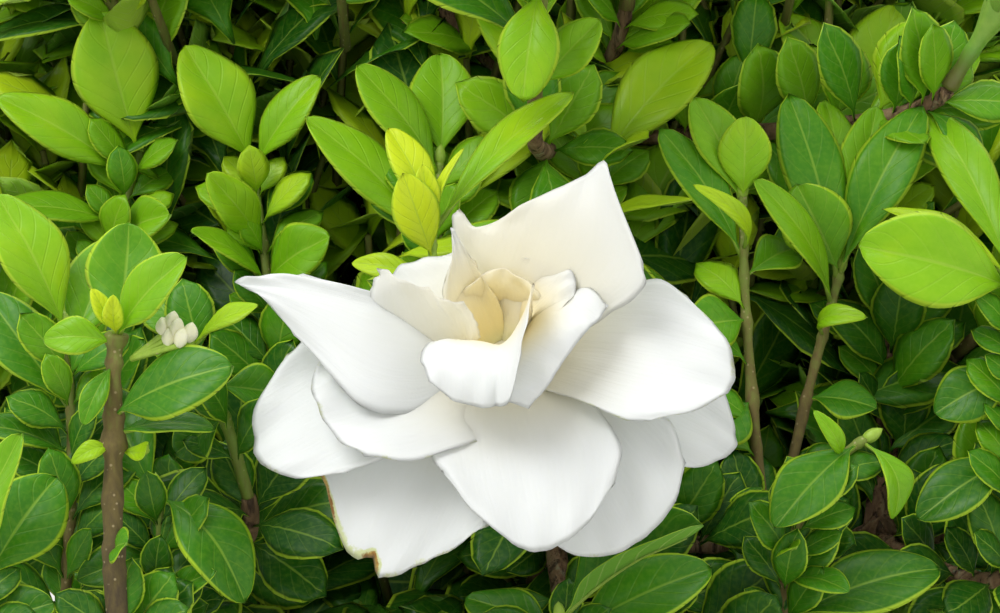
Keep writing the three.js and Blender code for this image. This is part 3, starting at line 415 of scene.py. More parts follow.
@finish("Petal tissue")
def petal_tissue(add, flower):
    """Gardenia petal: thick white tissue, satin to matt, cream in the hollow of the bloom and browned where bruised.
    Near the axis of the lower petals the cream is a painted shade.

    Fine veins run along it, and light spreads inside it, so that its shaded folds stay pale."""
    where = add("UVMap", uv_map="surface")
    veins = add("TexNoise", add("Mapping", where, Scale=(1, 0.12, 1)), 42, 2)
    cells, patches = speckle(add, 0.5, 2), speckle(add, 3.4, 5, 0.7)
    white = add("Mix", add("MapRange", veins, 0.4, 0.72, 0, 0.1), flower.petal, "#dfe6dc")
    # the throat's real cream, and on the lower petals near the axis a painted shade
    white = add("Mix", add("Attribute", attribute_name="cream", out="Fac"), white, flower.throat)
    foot = add("MapRange", add("SeparateXYZ", where, out="Y"), 0.22, 0.02, 0, 0.5)
    white = add("Mix", foot, white, "#e3e8b8")
    wear = add("Math", add("Attribute", attribute_name="wear", out="Fac"), patches, operation="ADD")
    white = add("Mix", add("MapRange", wear, 0.76, 0.96, 0, 0.9), white, "#cfd795")
    rust = add("Mix", add("MapRange", patches, 0.38, 0.6), "#c9a34e", flower.bruise)
    height = add("Math", cells, 0.25, veins, operation="MULTIPLY_ADD")
    return dict(
        Base_Color=add("Mix", add("MapRange", wear, 1.08, 1.24), white, rust),
        Roughness=0.52, IOR=1.42, Sheen_Weight=0.08,
        Subsurface_Weight=0.22, Subsurface_Radius=(1, 0.95, 0.8), Subsurface_Scale=0.0016,
        Normal=add("Bump", Height=height, Distance=0.16 * MM, Strength=0.55),
    )


@finish("Bud tissue")
def bud_tissue(add, flower):
    """Gardenia bud: tightly furled petals, greenish where they were shut and cream at their free edges, waxy."""
    tone = uneven(add, "cream", speckle(add, 2.4), 0.3)
    skin = add("ValToRGB", tone, stops=[(0, "#9cbf6a"), (0.35, "#d3e0a6"), (0.75, "#f3f2cc"), (1, "#f8f8f0")])
    return dict(
        Base_Color=skin, Roughness=0.42, IOR=1.42,
        Subsurface_Weight=0.15, Subsurface_Radius=(1, 1, 0.6), Subsurface_Scale=0.0012,
        Normal=add("Bump", Height=speckle(add, 0.6, 2), Distance=0.08 * MM, Strength=0.6),
    )


@finish("Calyx skin")
def calyx_skin(add, leaf):
    """Calyx: smooth green skin, ribbed, lighter at the tips of its lobes and tanned at the stalk."""
    tone = uneven(add, "age", speckle(add, 2), 0.3)
    skin = add("ValToRGB", tone, stops=[(0, "#b4cf62"), (0.5, "#6f9f3a"), (1, "#6d6a38")])
    bump = add("Bump", Height=speckle(add, 0.8, 2, 0.5, (1, 1, 0.4)), Distance=0.15 * MM, Strength=0.6)
    return dict(Base_Color=skin, Roughness=0.42, IOR=1.45, Coat_Weight=0.12, Coat_Roughness=0.25, Normal=bump)


@finish("Fired clay")
def fired_clay(add, pot):
    """Terracotta: iron-red clay, thrown and fired without a glaze. It is matt and gritty, with throwing lines,
    and water wicking through its wall leaves pale salts and a green film of algae low down."""
    height = add("SeparateXYZ", add("TexCoord", out="Object"), out="Z")
    clouds, grit, salts = speckle(add, 34, 4, 0.6), speckle(add, 0.9, 3, 0.6), speckle(add, 17, 6, 0.72)
    clay = add("Mix", add("MapRange", clouds, 0.3, 0.7), pot.clay, pot.clay_pale)
    clay = add("Mix", add("MapRange", grit, 0.55, 0.8, 0, 0.35), clay, "#7c3f28")
    films = [
        (add("MapRange", salts, 0.5, 0.64, 0, 0.62), (0.085, 0.02, 0.25, 1), "#ddccb8"),
        (add("MapRange", speckle(add, 12, 6, 0.7), 0.56, 0.68, 0, 0.5), (0.1, 0), "#6d6f43"),
    ]
    for film, low, shade in films:
        factor = add("Math", film, add("MapRange", height, *low), operation="MULTIPLY")
        clay = add("Mix", factor, clay, shade)
    rough = add("Math", salts, 0.5, grit, operation="MULTIPLY_ADD")
    bump = add("Bump", Height=rough, Distance=0.3 * MM, Strength=0.8)
    return dict(Base_Color=clay, Roughness=0.9, IOR=1.5, Normal=bump)


@finish("Potting soil")
def potting_soil(add, pot):
    """Potting mix: dark peat and composted bark, crumbly and matt, darker where its surface is lower."""
    crumbs = add("TexVoronoi", add("TexCoord", out="Object"), per_mm(2.2))
    fibre = speckle(add, 4, 6, 0.7)
    earth = add("ValToRGB", fibre, stops=[(0.3, "#1c130d"), (0.55, pot.soil), (0.8, "#5d4431")])
    bump = add("Bump", Height=add("Math", fibre, crumbs, operation="SUBTRACT"), Distance=1.4 * MM)
    return dict(Base_Color=earth, Roughness=0.95, IOR=1.4, Normal=bump)


@finish("Pine bark chip")
def pine_bark(add, pot):
    """Composted pine bark: flat red-brown chips with a fibrous break, matt."""
    grain = speckle(add, 1.5, 5, 0.65, (1, 0.3, 1))
    brown = add("ValToRGB", grain, stops=[(0.3, "#2e1c12"), (0.55, "#694328"), (0.8, "#96704a")])
    return dict(Base_Color=brown, Roughness=0.88, IOR=1.45, Normal=add("Bump", Height=grain, Distance=0.6 * MM))


@finish("Perlite grain")
def perlite(add, pot):
    """Perlite: volcanic glass blown by heat into soft white grains, stained a little by the soil."""
    stain = add("MapRange", speckle(add, 2, 4, 0.6), 0.45, 0.75)
    white = add("Mix", stain, "#e9e6dc", "#a8977f")
    bump = add("Bump", Height=speckle(add, 0.6), Distance=0.4 * MM)
    return dict(Base_Color=white, Roughness=0.8, IOR=1.5, Normal=bump)


@finish("Moss cushion")
def moss_cushion(add, pot):
    """Moss: a low cushion of tiny bright shoots, matt and velvety."""
    tufts = speckle(add, 0.8, 4, 0.7)
    green = add("ValToRGB", tufts, stops=[(0.3, "#2f4416"), (0.55, "#5f7f24"), (0.78, "#a0b54a")])
    bump = add("Bump", Height=tufts, Distance=1.2 * MM)
    return dict(Base_Color=green, Roughness=0.95, IOR=1.4, Sheen_Weight=0.3, Normal=bump)


@finish("Studio board")
def floor_card(add, stage):
    """Matt studio board: pale, even, with only the faintest grain."""
    grain = add("MapRange", speckle(add, 120, 2), 0.3, 0.7)
    return dict(Base_Color=add("Mix", grain, stage.floor, "#e1e1dd"), Roughness=0.85, IOR=1.45)


# ---------------------------------------------------------------- leaves and shoots
STALK = 0.1  # the part of a leaf's length that is its stalk, most of it no wider than a stem


def leaf_half(t):
    """Half a blade's width at t, as a share of the widest: a wedge, full past its middle, with a blunt point."""
    b = max((t - STALK * 0.8) / (1 - STALK * 0.8), 0)
    if b <= 0:
        return 0.04
    wide = max(sin(pi * min(b, 1) ** 1.16), 0) ** mix(1.1, 0.6, b)
    return max(wide, 0.04) if t < 0.5 else wide


def add_leaf(shape, leaf, columns, rows, seed, fine=True):
    """Adds one leaf, in its place: base, tip, face, width, bend, age and perhaps fold. A fine one has veins."""
    base, width, age = leaf["base"], leaf["width"], leaf["age"]
    along = leaf["tip"] - base
    length = along.length
    along.normalize()
    across = along.cross(leaf["face"]).normalized()
    up = across.cross(along)
    half_width = width / 2 * 1.06
    fold = leaf.get("fold", 0.16 + 0.1 * scatter(seed, 31))
    curl = 0.05 + 0.05 * scatter(seed, 32)
    sway = 0.05 * scatter(seed, 33)
    wave = (0.035 + 0.02 * scatter(seed, 34)) * width
    phase = 3 * scatter(seed, 35)

    def place(s, t, side):
        wide = leaf_half(t)
        half, edge = half_width * wide, abs(s)
        lift = fold * half * edge - 0.06 * width * wide
        lift += wave * edge * edge * sin(8.5 * t + phase + (1.7 if s > 0 else 0)) * smooth(0.1, 0.4, t)
        lift -= 0.35 * half * smooth(0.75, 1, edge) * 0.22
        if fine:
            lift -= 0.3 * swell(edge * half, 0, 0.9) * smooth(0.05, 0.2, t)
            between = abs(sin(pi * VEINS * (t - VEIN_SLANT * edge)))
            lift += 0.16 * between * 4 * edge * (1 - edge) * smooth(0.1, 0.3, t) * (1 - smooth(0.85, 1, t))
        thick = side * LEAF.thick / 2 * (1 - edge**4) * min(1, 12 * t, 12 * (1 - t))
        arch = 4 * leaf["bend"] * length * t * (1 - t) - curl * length * smooth(0.6, 1, t) * (1 - t) * 2
        middle = base + along * (length * t) + up * arch + across * (4 * sway * width * t * (1 - t))
        return middle + across * (s * half) + up * (lift + thick)

    shape.sheet(columns, rows, place, (0, 1), {"age": age})
    if fine:
        thick = 0.62 * sqrt(length / LEAF.length)
        rib = lambda t: place(0, 0.02 + 0.86 * t, -1) - up * 0.05
        shape.tube(rib, lambda t, a: mix(thick, 0.14, t**0.7), 6, 7, 2, {"age": 0.12 + 0.2 * age})


def add_stem(shape, points, knots, seed, old, thick=1, sides=8, rows=16):
    """Adds a shoot's stem, swollen at its knots and ending in a small pointed bud. old is how far it is woody."""
    ends = [mix(-0.2, 0.9, k / 6) + 0.02 * scatter(seed, k) for k in range(7)]

    def radius(t, angle):
        knot = sum(0.34 * swell(t, k, 0.022) for k in knots)
        knot += sum(0.16 * swell(t, k, 0.02) for k in ends)
        lump = 0.1 * sin(3 * angle + 11 * t + seed) + 0.08 * sin(2 * angle - 23 * t)
        return mix(SHOOT.radius * thick, SHOOT.tip * thick, t) * (1 + knot + lump * old)

    age = lambda x, y: old * (1 - 0.42 * (y + 1) / 2)
    shape.tube(lambda t: on_curve(points, t)[0], radius, sides, rows, 2, {"age": age})
    end, way = on_curve(points, 1)
    bud = lambda t, a: 1.25 * sin(pi * mix(0.18, 1, t)) ** 0.8 + 0.02
    shape.tube(lambda t: end + way * (4.2 * t - 0.4), bud, 6, 5, 2, {"age": 0.05})


def on_crown(round_, climb, beyond, depth=1.0):
    """A place on the crown's outline, or inside it, and the way that a shoot there grows."""
    out = polar(cos(climb), round_, sin(climb))
    radius, rise = CROWN.radius * depth, CROWN.rise * depth
    at = Vector((out.x * radius, out.y * radius, out.z * rise + CROWN.centre)) + out * beyond
    return at, (out + UP * 0.75).normalized()


# Each flower's name, kind, place and way, and size.
FLOWERS = [
    ("bloom_front", "full", (FRONT_BLOOM, Vector((0, -sin(BLOOM_LEAN), cos(BLOOM_LEAN)))), 1.0),
    ("bloom_back", "plain", on_crown(radians(75), radians(38), 4), 0.92),
    ("bloom_left", "plain", on_crown(radians(196), radians(16), 4), 0.84),
    ("bud_right", "bud", on_crown(radians(338), radians(42), 4), 1.0),
    ("bud_top", "bud", on_crown(radians(170), radians(74), 4), 1.05),
]

# What would hide the front bloom, in the part of the bush that is seen round it, is left open.
FRONT = Sizes(right=96, down=-52, up=70, behind=-104)
# Where leaves along the wood would hide other leaves that the photo shows, as they are seen: nearer than the first
# number, and between the next two from the left and the last two from below.
KEPT_OPEN = [(1, -84, -38, -24, 30), (-62, -32, 36, 18, 62), (-85, 40, 74, -14, 36)]
FLOWER_ROOM = 38
GOLDEN = pi * (3 - sqrt(5))
OPENINGS = [0, -13, 13, -24, 24, 36]
NEARER = [0, 3, -3, 6, -6, 9, -9, 13, -13]


def in_front(point):
    right, up, near = seen_at(point)
    return abs(right) < FRONT.right and FRONT.down < up < FRONT.up and near > FRONT.behind


def paired_leaves(seed, points, length=LEAF.length, openings=OPENINGS):
    """Leaves in opposite pairs, each pair square to the last, as lists of places that open more or less widely."""
    leaves = []
    for pair in range(4):
        at, way = on_curve(points, mix(0.28, 0.97, pair / 3))
        sideways = UP.cross(way).normalized()
        forwards = way.cross(sideways)
        for side in (0, 1):
            draw = lambda k: scatter(seed * 100 + pair * 10 + side, k)
            turn = pair * (pi / 2) + side * pi + 0.9 * seed + 0.3 * draw(1)
            outwards = sideways * cos(turn) + forwards * sin(turn)
            long = length * (mix(1, 0.68, (pair / 3) ** 2) + 0.1 * draw(3))
            width = (LEAF.width / LEAF.length) * long * (1 + 0.12 * draw(4))
            base = at + outwards * (0.3 * SHOOT.radius)
            age = min(max(mix(0.82, 0.3, pair / 3) + 0.16 * draw(7), 0), 1)
            leaf = dict(base=base, width=width, bend=0.1 + 0.05 * draw(5), age=age)
            places = []
            for more in openings:
                open_ = radians(mix(70, 30, pair / 3) + 9 * draw(2) + more)
                tip = base + (way * cos(open_) + outwards * sin(open_)) * long
                places.append({**leaf, "tip": tip, "face": way * sin(open_) - outwards * cos(open_)})
            leaves.append(places)
    return leaves


# The shoots round the front bloom, as they are seen, in mm right of the bloom, up from it and nearer: the stem's
# path, how woody it is, and each leaf as where it leaves the stem, its tip, width, age, and, where they aren't
# plain, how far it arches, the way it faces and how steeply it is folded.
FRONT_SHOOTS = {
    "left": ([(-67, -46, 3), (-68, -24, 4), (-68, -2, 5), (-67, 5, 6)], 0.95, [
        (0.97, (-65, 24.5, 2), 13.5, 0.64, -0.05), (0.95, (-55, 18.5, 13), 10, 0.46, 0.12, (-0.7, 0.3, 1)),
        (0.99, (-71.4, 12.8, 10), 3.4, 0.02), (0.99, (-67.7, 11.5, 13), 3.6, 0.08),
        (0.93, (-80, 4, 8), 7, 0.4, 0.2), (0.82, (-73, -11, 9), 4.5, 0.5),
        (0.6, (-47, -0.5, 14), 13, 0.74, 0.14, (0.1, 0.6, 1)), (0.54, (-50, -11.5, 4), 7, 0.7, 0.12, (0, 1, 0.6)),
        (0.5, (-75, -17.5, 8), 3.5, 0.14, 0.3), (0.5, (-62, -14.5, 10), 3.5, 0.14, -0.3),
        (0.2, (-65.5, -31.5, 10), 6.5, 0.45),
    ]),
    "left_edge": ([(-77, -52, -14), (-75, -31, -14), (-74, -13.5, -14), (-76, 5.5, -15)], 0.8, [
        (0.98, (-88, 29.5, -14), 12.5, 0.42, 0.12, (0.5, 0.3, 1)), (0.75, (-90, 12, -18), 11, 0.7),
        (0.6, (-92, -11, -8), 9, 0.72, 0.12, (0, 1, 0.7)), (0.3, (-92, -25, -16), 13, 0.7),
        (0.9, (-66, 22, -26), 12, 0.6),
    ]),
    "left_low": ([(-97, -66, 2), (-94, -52, 4), (-90, -38, 5)], 0.8, [
        (0.98, (-84, -12.5, 14), 10, 0.36, 0.12, (-0.9, 0.2, 1)),
        (0.95, (-77.5, -20, -3), 14, 0.62, 0.12, (0.3, 0.7, 1)), (0.6, (-78, -42, 6), 11, 0.7),
    ]),
    "left_inner": ([(-60, -52, -12), (-59, -36, -12), (-60, -23, -12)], 0.7, [
        (0.97, (-44.5, -42, -6), 13, 0.62, 0.3, (0.5, 0.5, 1)), (0.3, (-50, -36.5, 0), 6, 0.6),
        (0.95, (-70, -4, -22), 11, 0.72), (0.6, (-74, -38, -6), 8, 0.7),
    ]),
    "left_upper": ([(-44, -24, -30), (-48, -10, -24), (-50.5, -1, -20), (-54, 3, -17)], 0.5, [
        (0.97, (-42.5, 10, -10), 6.5, 0.26, 0.12, (0.2, 1, 0.8)), (0.9, (-62, 13, -24), 9, 0.6),
        (0.6, (-37, -6, -30), 10, 0.6), (0.4, (-57, -16, -26), 9, 0.7),
    ]),
    "young": ([(-12, 0, -34), (-11.5, 12, -32), (-12, 24, -30)], 0.1, [
        (0.97, (-19.5, 41, -30), 8, 0.06, 0.12, (0.5, 0.2, 1)), (0.75, (-17, 33, -24), 8.6, 0.0),
        (0.97, (-13.5, 34.5, -26), 5, 0.08), (0.85, (-6.5, 37.5, -28), 3.2, 0.05, 0.12, (-1, 0.2, 0.6)),
        (0.6, (-26, 17.5, -34), 5, 0.2),
    ]),
    "behind": ([(-12, 0, -74), (-11, 20, -73), (-10.5, 35, -72)], 0.5, [
        (0.6, (13, 47.5, -74), 11.5, 0.28, 0.12, (-0.5, 0.4, 1)), (0.98, (-10.5, 54, -78), 13, 0.5),
        (0.92, (-25, 52, -66), 11, 0.5, 0.12, (0.5, 0.4, 1)),
        (0.5, (-34, 43, -66), 11.5, 0.46, 0.12, (0.5, 0.5, 1)), (0.3, (2, 24, -60), 11, 0.5),
    ]),
    "back_left": ([(-39, 2, -84), (-41.5, 19.5, -86), (-43, 34.5, -88)], 0.6, [
        (0.97, (-31.5, 50, -84), 10, 0.45, 0.12, (-0.5, 0.3, 1)),
        (0.97, (-55, 55.5, -84), 15, 0.4, 0.12, (0.4, 0.3, 1)), (0.55, (-51, 33, -74), 9, 0.4),
        (0.3, (-54, 23, -70), 10, 0.45, 0.12, (0, 1, 0.8)), (0.35, (-30, 22, -72), 12, 0.5),
    ]),
    "far_left": ([(-70, 8, -88), (-66.5, 25, -92), (-63, 37, -94)], 0.6, [
        (0.97, (-70, 61.5, -90), 17, 0.4), (0.8, (-88, 46.5, -84), 11, 0.45, 0.12, (0.4, 0.3, 1)),
        (0.5, (-88, 27, -80), 11, 0.55, 0.12, (0, 1, 0.8)), (0.4, (-58, 26, -78), 11, 0.5),
    ]),
    "right_inner": ([(46, -26, -54), (43.5, -3, -56), (42.5, 14, -57), (42.5, 29, -58)], 0.75, [
        (0.98, (43, 43, -56), 10, 0.42), (0.8, (34, 31, -42), 4, 0.3, 0.25), (0.55, (33, 6, -50), 11, 0.6),
        (0.3, (36, -14, -50), 11, 0.7), (0.7, (52, 20, -70), 9, 0.6),
    ]),
    "right": ([(49, -28, -66), (52.5, -8.5, -66), (57.5, 7.5, -66), (59.5, 16, -67)], 0.85, [
        (0.8, (44.5, 32, -54), 8.5, 0.5, 0.12, (0.9, 0.2, 1)),
        (0.98, (52, 31, -64), 13.5, 0.62, 0.12, (-0.3, 0.4, 1)),
        (0.95, (57, 46, -82), 12, 0.5, 0.12, (0.4, 0.4, 1)), (0.95, (66, 45, -84), 11, 0.55),
        (0.65, (64, 8, -54), 5, 0.3, 0.35), (0.4, (66, -8, -62), 12, 0.7, 0.12, (0, 1, 0.7)),
    ]),
    "right_edge": ([(90, -34, -50), (91, -12, -50), (91, 1, -50), (90, 14, -50)], 0.8, [
        (0.96, (62.5, 20.5, -42), 18, 0.4, 0.16, (0.1, 0.3, 1)), (0.99, (67, 27, -56), 8, 0.3, 0.12, (0, 1, 0.5)),
        (0.98, (75, 44.5, -72), 10, 0.5), (0.3, (73, -27.5, -46), 11, 0.75, 0.12, (0, 0.8, 1)),
        (0.6, (76, -9, -50), 11, 0.75),
    ]),
    "right_low": ([(50, -54, -36), (47.5, -35, -34), (52.5, -20.5, -33), (64, -13.5, -34)], 0.8, [
        (0.96, (48, -29, -22), 11.5, 0.58, 0.12, (-0.2, 0.5, 1)),
        (0.98, (69, -27.5, -34), 7, 0.3, 0.35, (0.6, 0.4, 1)), (0.85, (55, -8.5, -28), 3.5, 0.3, 0.3),
        (0.36, (52, -32, -22), 5, 0.2), (0.3, (61, -40, -24), 7.5, 0.5, 0.12, (0, 1, 0.7)),
        (0.15, (77, -36, -40), 15, 0.7, 0.12, (0, 1, 0.9)),
    ]),
    "below": ([(13, -64, -28), (11.5, -54, -23), (10.5, -45, -18)], 0.6, [
        (0.98, (35.5, -28.5, -8), 17, 0.66, 0.1, (-0.45, 1, 0.5), 0.9),
        (0.8, (37, -36, -24), 13, 0.55, 0.12, (0.1, 0.8, 1)), (0.8, (-6, -41, -26), 11, 0.7, 0.12, (0, 1, 0.8)),
        (0.3, (28, -52, -12), 12, 0.65),
    ]),
    "back_right": ([(11, 0, -84), (14, 20, -83), (17.5, 34.5, -82)], 0.6, [
        (0.9, (26, 39.5, -66), 10, 0.3, 0.12, (0, 1, 0.8)), (0.5, (33.5, 28.5, -52), 6, 0.26, 0.12, (0, 1, 0.9)),
        (0.98, (37, 56, -86), 15, 0.36, 0.12, (-0.3, 0.4, 1)), (0.98, (-4, 63, -90), 13, 0.4, 0.12, (0.4, 0.4, 1)),
        (0.3, (30, 12, -76), 12, 0.5),
    ]),
    "far_right": ([(68, 8, -98), (66.5, 26, -100), (62, 42, -101)], 0.6, [
        (0.98, (69.5, 62.5, -100), 15, 0.4), (0.9, (49, 61, -98), 14, 0.42, 0.12, (0.4, 0.4, 1)),
        (0.6, (77, 35.5, -84), 8, 0.5), (0.9, (84, 54, -96), 12, 0.5, 0.12, (-0.4, 0.4, 1)),
    ]),
}

# Leaves of the wood that the photo shows and the solids leave out, as they are seen: foot, tip, width, age, how
# far it arches and the way it faces.
WOOD_LEAVES = [
    ((-11.6, 23, -31), (13, 47.5, -44), 8, 0.28, 0.1, (-0.5, 0.4, 1)),
    ((7.1, 66, -33), (4, 45.5, -28), 11, 0.3, 0.12, (0, 0.3, 1)),
    ((6.4, 48, -46), (17.5, 60, -38), 8.5, 0.36, 0.12, (0.2, 0.3, 1)),
    ((42.4, 27, -58.3), (34, 46.5, -62), 10, 0.42, 0.12, (0.2, 0.4, 1)),
    ((42.5, 18, -57.6), (28, 41, -60), 9.5, 0.6, 0.12, (0.3, 0.4, 1)),
    ((59, 14, -66.5), (50.5, 47, -71), 13, 0.62, 0.12, (0.2, 0.4, 1)),
    ((59.3, 15, -66.5), (74, 45, -68), 12, 0.6, 0.12, (-0.2, 0.4, 1)),
]


# The small pale buds beside the left shoot's tip, as they are seen.
BUD_CLUSTER = [(-57.8, 4.4, 9), (-55.8, 4.2, 10), (-56.6, 6.0, 9), (-58.9, 6.2, 8), (-57.4, 7.2, 8), (-54.2, 5.2, 9)]


def front_shoots():
    """The shoots round the front bloom: name, stem points, how woody, where its leaves start, their places."""
    shoots = []
    for name, (path, old, leaves) in FRONT_SHOOTS.items():
        points = [seen(*place) for place in path]
        places = []
        for start, (right, up, near), width, age, *rest in leaves:
            bend, face, *fold = *rest, *(0.12, (0, 0.45, 1))[len(rest) :]
            # painted shade and light: a leaf low in view is made older, so darker, and a high one younger, so
            # lighter
            age = max(age + mix(0.14, -0.14, smooth(-40, 45, up)), 0)
            leaf = dict(base=on_curve(points, start)[0], face=seen_way(*face), width=width, bend=bend, age=age)
            if fold:
                leaf["fold"] = fold[0]
            places.append([{**leaf, "tip": seen(right, up, near + more)} for more in NEARER])
        shoots.append(("front_shoot_" + name, points, old, [leaf[0] for leaf in leaves], places))
    return shoots


def crown_shoots():
    """The shoots that stand round the crown at the golden angle, in the same order as the front ones give."""
    shoots = []
    low, high = sin(radians(CROWN.low)), sin(radians(CROWN.high))
    for i in range(SHOOT.count):
        climb = asin(mix(high, low, (i + 0.5) / SHOOT.count))
        at, way = on_crown(i * GOLDEN + 0.25 * scatter(i, 1), climb, 5 * scatter(i, 2))
        if in_front(at) or any((flower[2][0] - at).length < FLOWER_ROOM for flower in FLOWERS):
            continue
        points = [at - way * (SHOOT.length * (1 + 0.12 * scatter(i, 3))), at]
        knots = [mix(0.28, 0.97, pair / 3) for pair in range(4)]
        shoots.append((f"shoot_{i + 1:02d}", points, 0.7, knots, paired_leaves(i + 1, points)))
    return shoots


def add_leaves(shape, node, leaves, columns, rows, seed):
    """Adds a shoot's leaves. The place that each has in the frame is the first whose tip is a corner of the
    shoot's node, and a leaf with none was left out of the frame."""
    corners = KDTree(len(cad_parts[node].data.vertices))
    for i, corner in enumerate(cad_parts[node].data.vertices):
        corners.insert(corner.co, i)
    corners.balance()
    found = []
    for places in leaves:
        if node.startswith("shoot"):
            places = [place for place in places if not in_front(place["tip"])]
        found += [place for place in places if corners.find(place["tip"] * MM)[2] < 0.5 * MM][:1]
    for i, leaf in enumerate(found):
        add_leaf(shape, leaf, columns, rows, seed + i)


def wood_lines():
    """The lines of the scaffold branches, and of the twigs with the radius that each ends in."""
    ends = [(*on_curve(shoot[1], 0), SHOOT.radius) for shoot in front_shoots() + crown_shoots()]
    for name, kind, (at, way), size in FLOWERS:
        down = (CALYX.below + CALYX.length + CALYX.stem) * size + GAP
        ends.append((at - way * down, way, CALYX.stem_radius * size))
    scaffolds, starts = [], []
    for i in range(SCAFFOLDS.count + 1):
        upright = i == SCAFFOLDS.count
        turn = 2 * pi * i / SCAFFOLDS.count + 0.3
        end = FORK + polar(12 if upright else SCAFFOLDS.reach, turn, 120 if upright else 48 + 26 * (i % 2))
        points = [FORK - UP * (8 + 5 * (i % 4)), FORK.lerp(end, 0.5) - UP * 16, end]
        scaffolds.append(points)
        t = 0.3
        while t < 0.97:
            starts.append(on_curve(points, t)[0])
            t += 0.02
    twigs = []
    for at, way, radius in ends:
        bend = at - way * TWIG_STRAIGHT
        start = min(starts, key=lambda p: (p - bend).length)
        twigs.append(([start, bend, at + way * 0.5], radius))
    return scaffolds, twigs


def covers_flower(point, flowers):
    """Whether a point lies in front of one of the flowers, or in it."""
    for name, kind, (at, way), size in flowers:
        away = point - at
        along = away.dot(way)
        if -6 < along < 60 and (away - way * along).length < (46 if kind != "bud" else 18) * size:
            return True
    return False


def beyond_crown(point, share=1.05):
    """Whether a point lies outside the crown's rounded, uneven outline, taken at this share of its size."""
    height = point.z - CROWN.centre
    rise = CROWN.rise if height > 0 else CROWN.drop
    lump = 0.16 * noise.noise(Vector((point.x, point.y, height)).normalized() * 3.2)
    return hypot(point.x / CROWN.radius, point.y / CROWN.radius, height / rise) > share + lump


# ---------------------------------------------------------------- petals
SPINE_STEPS = 24
PETAL_THICK = 0.8


def petal(
    turn, rise, length, left, right, cup, reach=(0.76, 0.93, 1, 0.93, 0.76), seat=0, out=1, aside=0, wear=0.1, torn=0
):
    """A petal leaves the bloom's axis in the direction turn, from seat above the base and out from the axis. It
    climbs at the angles of rise, from its foot to its tip. left and right are its half widths, seen from the axis,
    at even steps along it, and reach is how far it gets, at even steps across. aside moves its tip to the right
    and cup lifts its two sides. wear is how far its margins have browned, and torn how ragged they are."""
    return Sizes(**locals())


OUTER = [
    petal(-20, [22, -6, -28], 44, [4, 10, 13, 11], [4, 10, 13, 11], (1, 1)),
    petal(
        -60, [33, -6, -28], 43, [4, 12, 18, 18], [4, 11, 15, 13], (1, 1), reach=[0.84, 0.96, 1, 0.95, 0.8],
        wear=0.25,
    ),
    petal(
        -118, [30, -15, -35], 46, [4, 11, 15, 12], [4, 13, 21, 17], (2, 2), reach=[0.7, 0.86, 1, 0.9, 0.74], wear=1,
        torn=1,
    ),
    petal(-155, [30, 0, -25], 47, [4, 10, 14, 13], [4, 11, 15, 13], (2, 2), wear=0.3),
    petal(138, [25, 5, -10], 25, [4, 9, 12, 10], [4, 9, 12, 10], (1, 1)),
    petal(52, [30, 5, -15], 31, [4, 9, 12, 10], [4, 9, 12, 10], (1, 1)),
]
MIDDLE = [
    petal(
        -82, [40, 5, -20], 43, [5, 13, 17, 14], [5, 13, 15, 13], (0, 0), seat=2, reach=[0.8, 0.95, 1, 0.88, 0.66],
    ),
    petal(
        -154, [40, 12, 5], 36, [7, 16, 18, 18, 18, 17, 15], [5, 9, 10, 9], (1, -1), seat=2.5,
        reach=[0.96, 0.99, 1, 0.95, 0.85], wear=0.3,
    ),
    petal(-16, [45, 10, -5], 43, [4, 11, 15, 13], [4, 10, 14, 12], (2, 2), seat=2, wear=0.35),
    petal(
        62, [70, 50, 25], 38.5, [5, 12, 16, 17], [5, 15, 22, 13], (2, 2), seat=3,
        reach=[0.62, 0.54, 0.58, 0.7, 0.82, 0.93, 1.02, 0.86, 0.72],
    ),
    petal(
        176, [42, 19, 6], 48, [6, 13, 18.5, 19, 12, 6, 2], [5, 5, 3.5, 2.2, 3, 4, 2], (-2.5, 0), seat=4,
        reach=[0.8, 0.92, 1, 0.92, 0.8],
    ),
    petal(126, [75, 58, 42], 25, [3, 7.5, 6.5, 0.5], [2, 2.2, 1, 0.3], (1, 1), seat=4),
]
INNER = [
    petal(88, [88, 80, 60], 15, [5, 8, 9, 8], [5, 8, 9, 8], (5, 5), seat=4, out=4),
    petal(20, [85, 60, 20], 20.5, [4, 8, 8, 6], [4, 8, 8, 6], (2, 2), seat=4, out=3),
    petal(
        -110, [82, 96, 102], 22, [1, 2.3, 4.4, 7.4, 8.5], [14, 15.5, 15.7, 13, 9], (0, 2), seat=3, out=6.5,
        aside=11.5, reach=[0.96, 0.95, 0.97, 1, 0.97], torn=0.6,
    ),
    petal(
        -36, [85, 60, -20], 25.5, [4, 9, 11, 11], [4, 12, 16, 16], (-1, -1), seat=4, out=3,
        reach=[0.98, 0.96, 0.95, 0.98, 1.02],
    ),
    petal(
        -94, [88, 55, -50], 31, [4, 5.5, 5.5, 5], [4, 10, 12.5, 11], (10, -1), seat=4, out=4,
        reach=[0.86, 0.97, 1, 0.99, 0.92],
    ),
]


def petal_spine(petal):
    """The petal's midrib in the bloom's frame, with the way out of its upper face at each step."""
    turn = radians(petal.turn)
    outwards = polar(1, turn)
    at = outwards * petal.out + UP * petal.seat
    before = None
    spine = []
    for i in range(SPINE_STEPS + 1):
        climb = radians(through(petal.rise, i / SPINE_STEPS))
        along = outwards * cos(climb) + UP * sin(climb)
        if before:
            at = at + (before + along) * (petal.length / SPINE_STEPS / 2)
        before = along
        spine.append((at, UP * cos(climb) - outwards * sin(climb)))
    return spine, Vector((sin(turn), -cos(turn), 0))


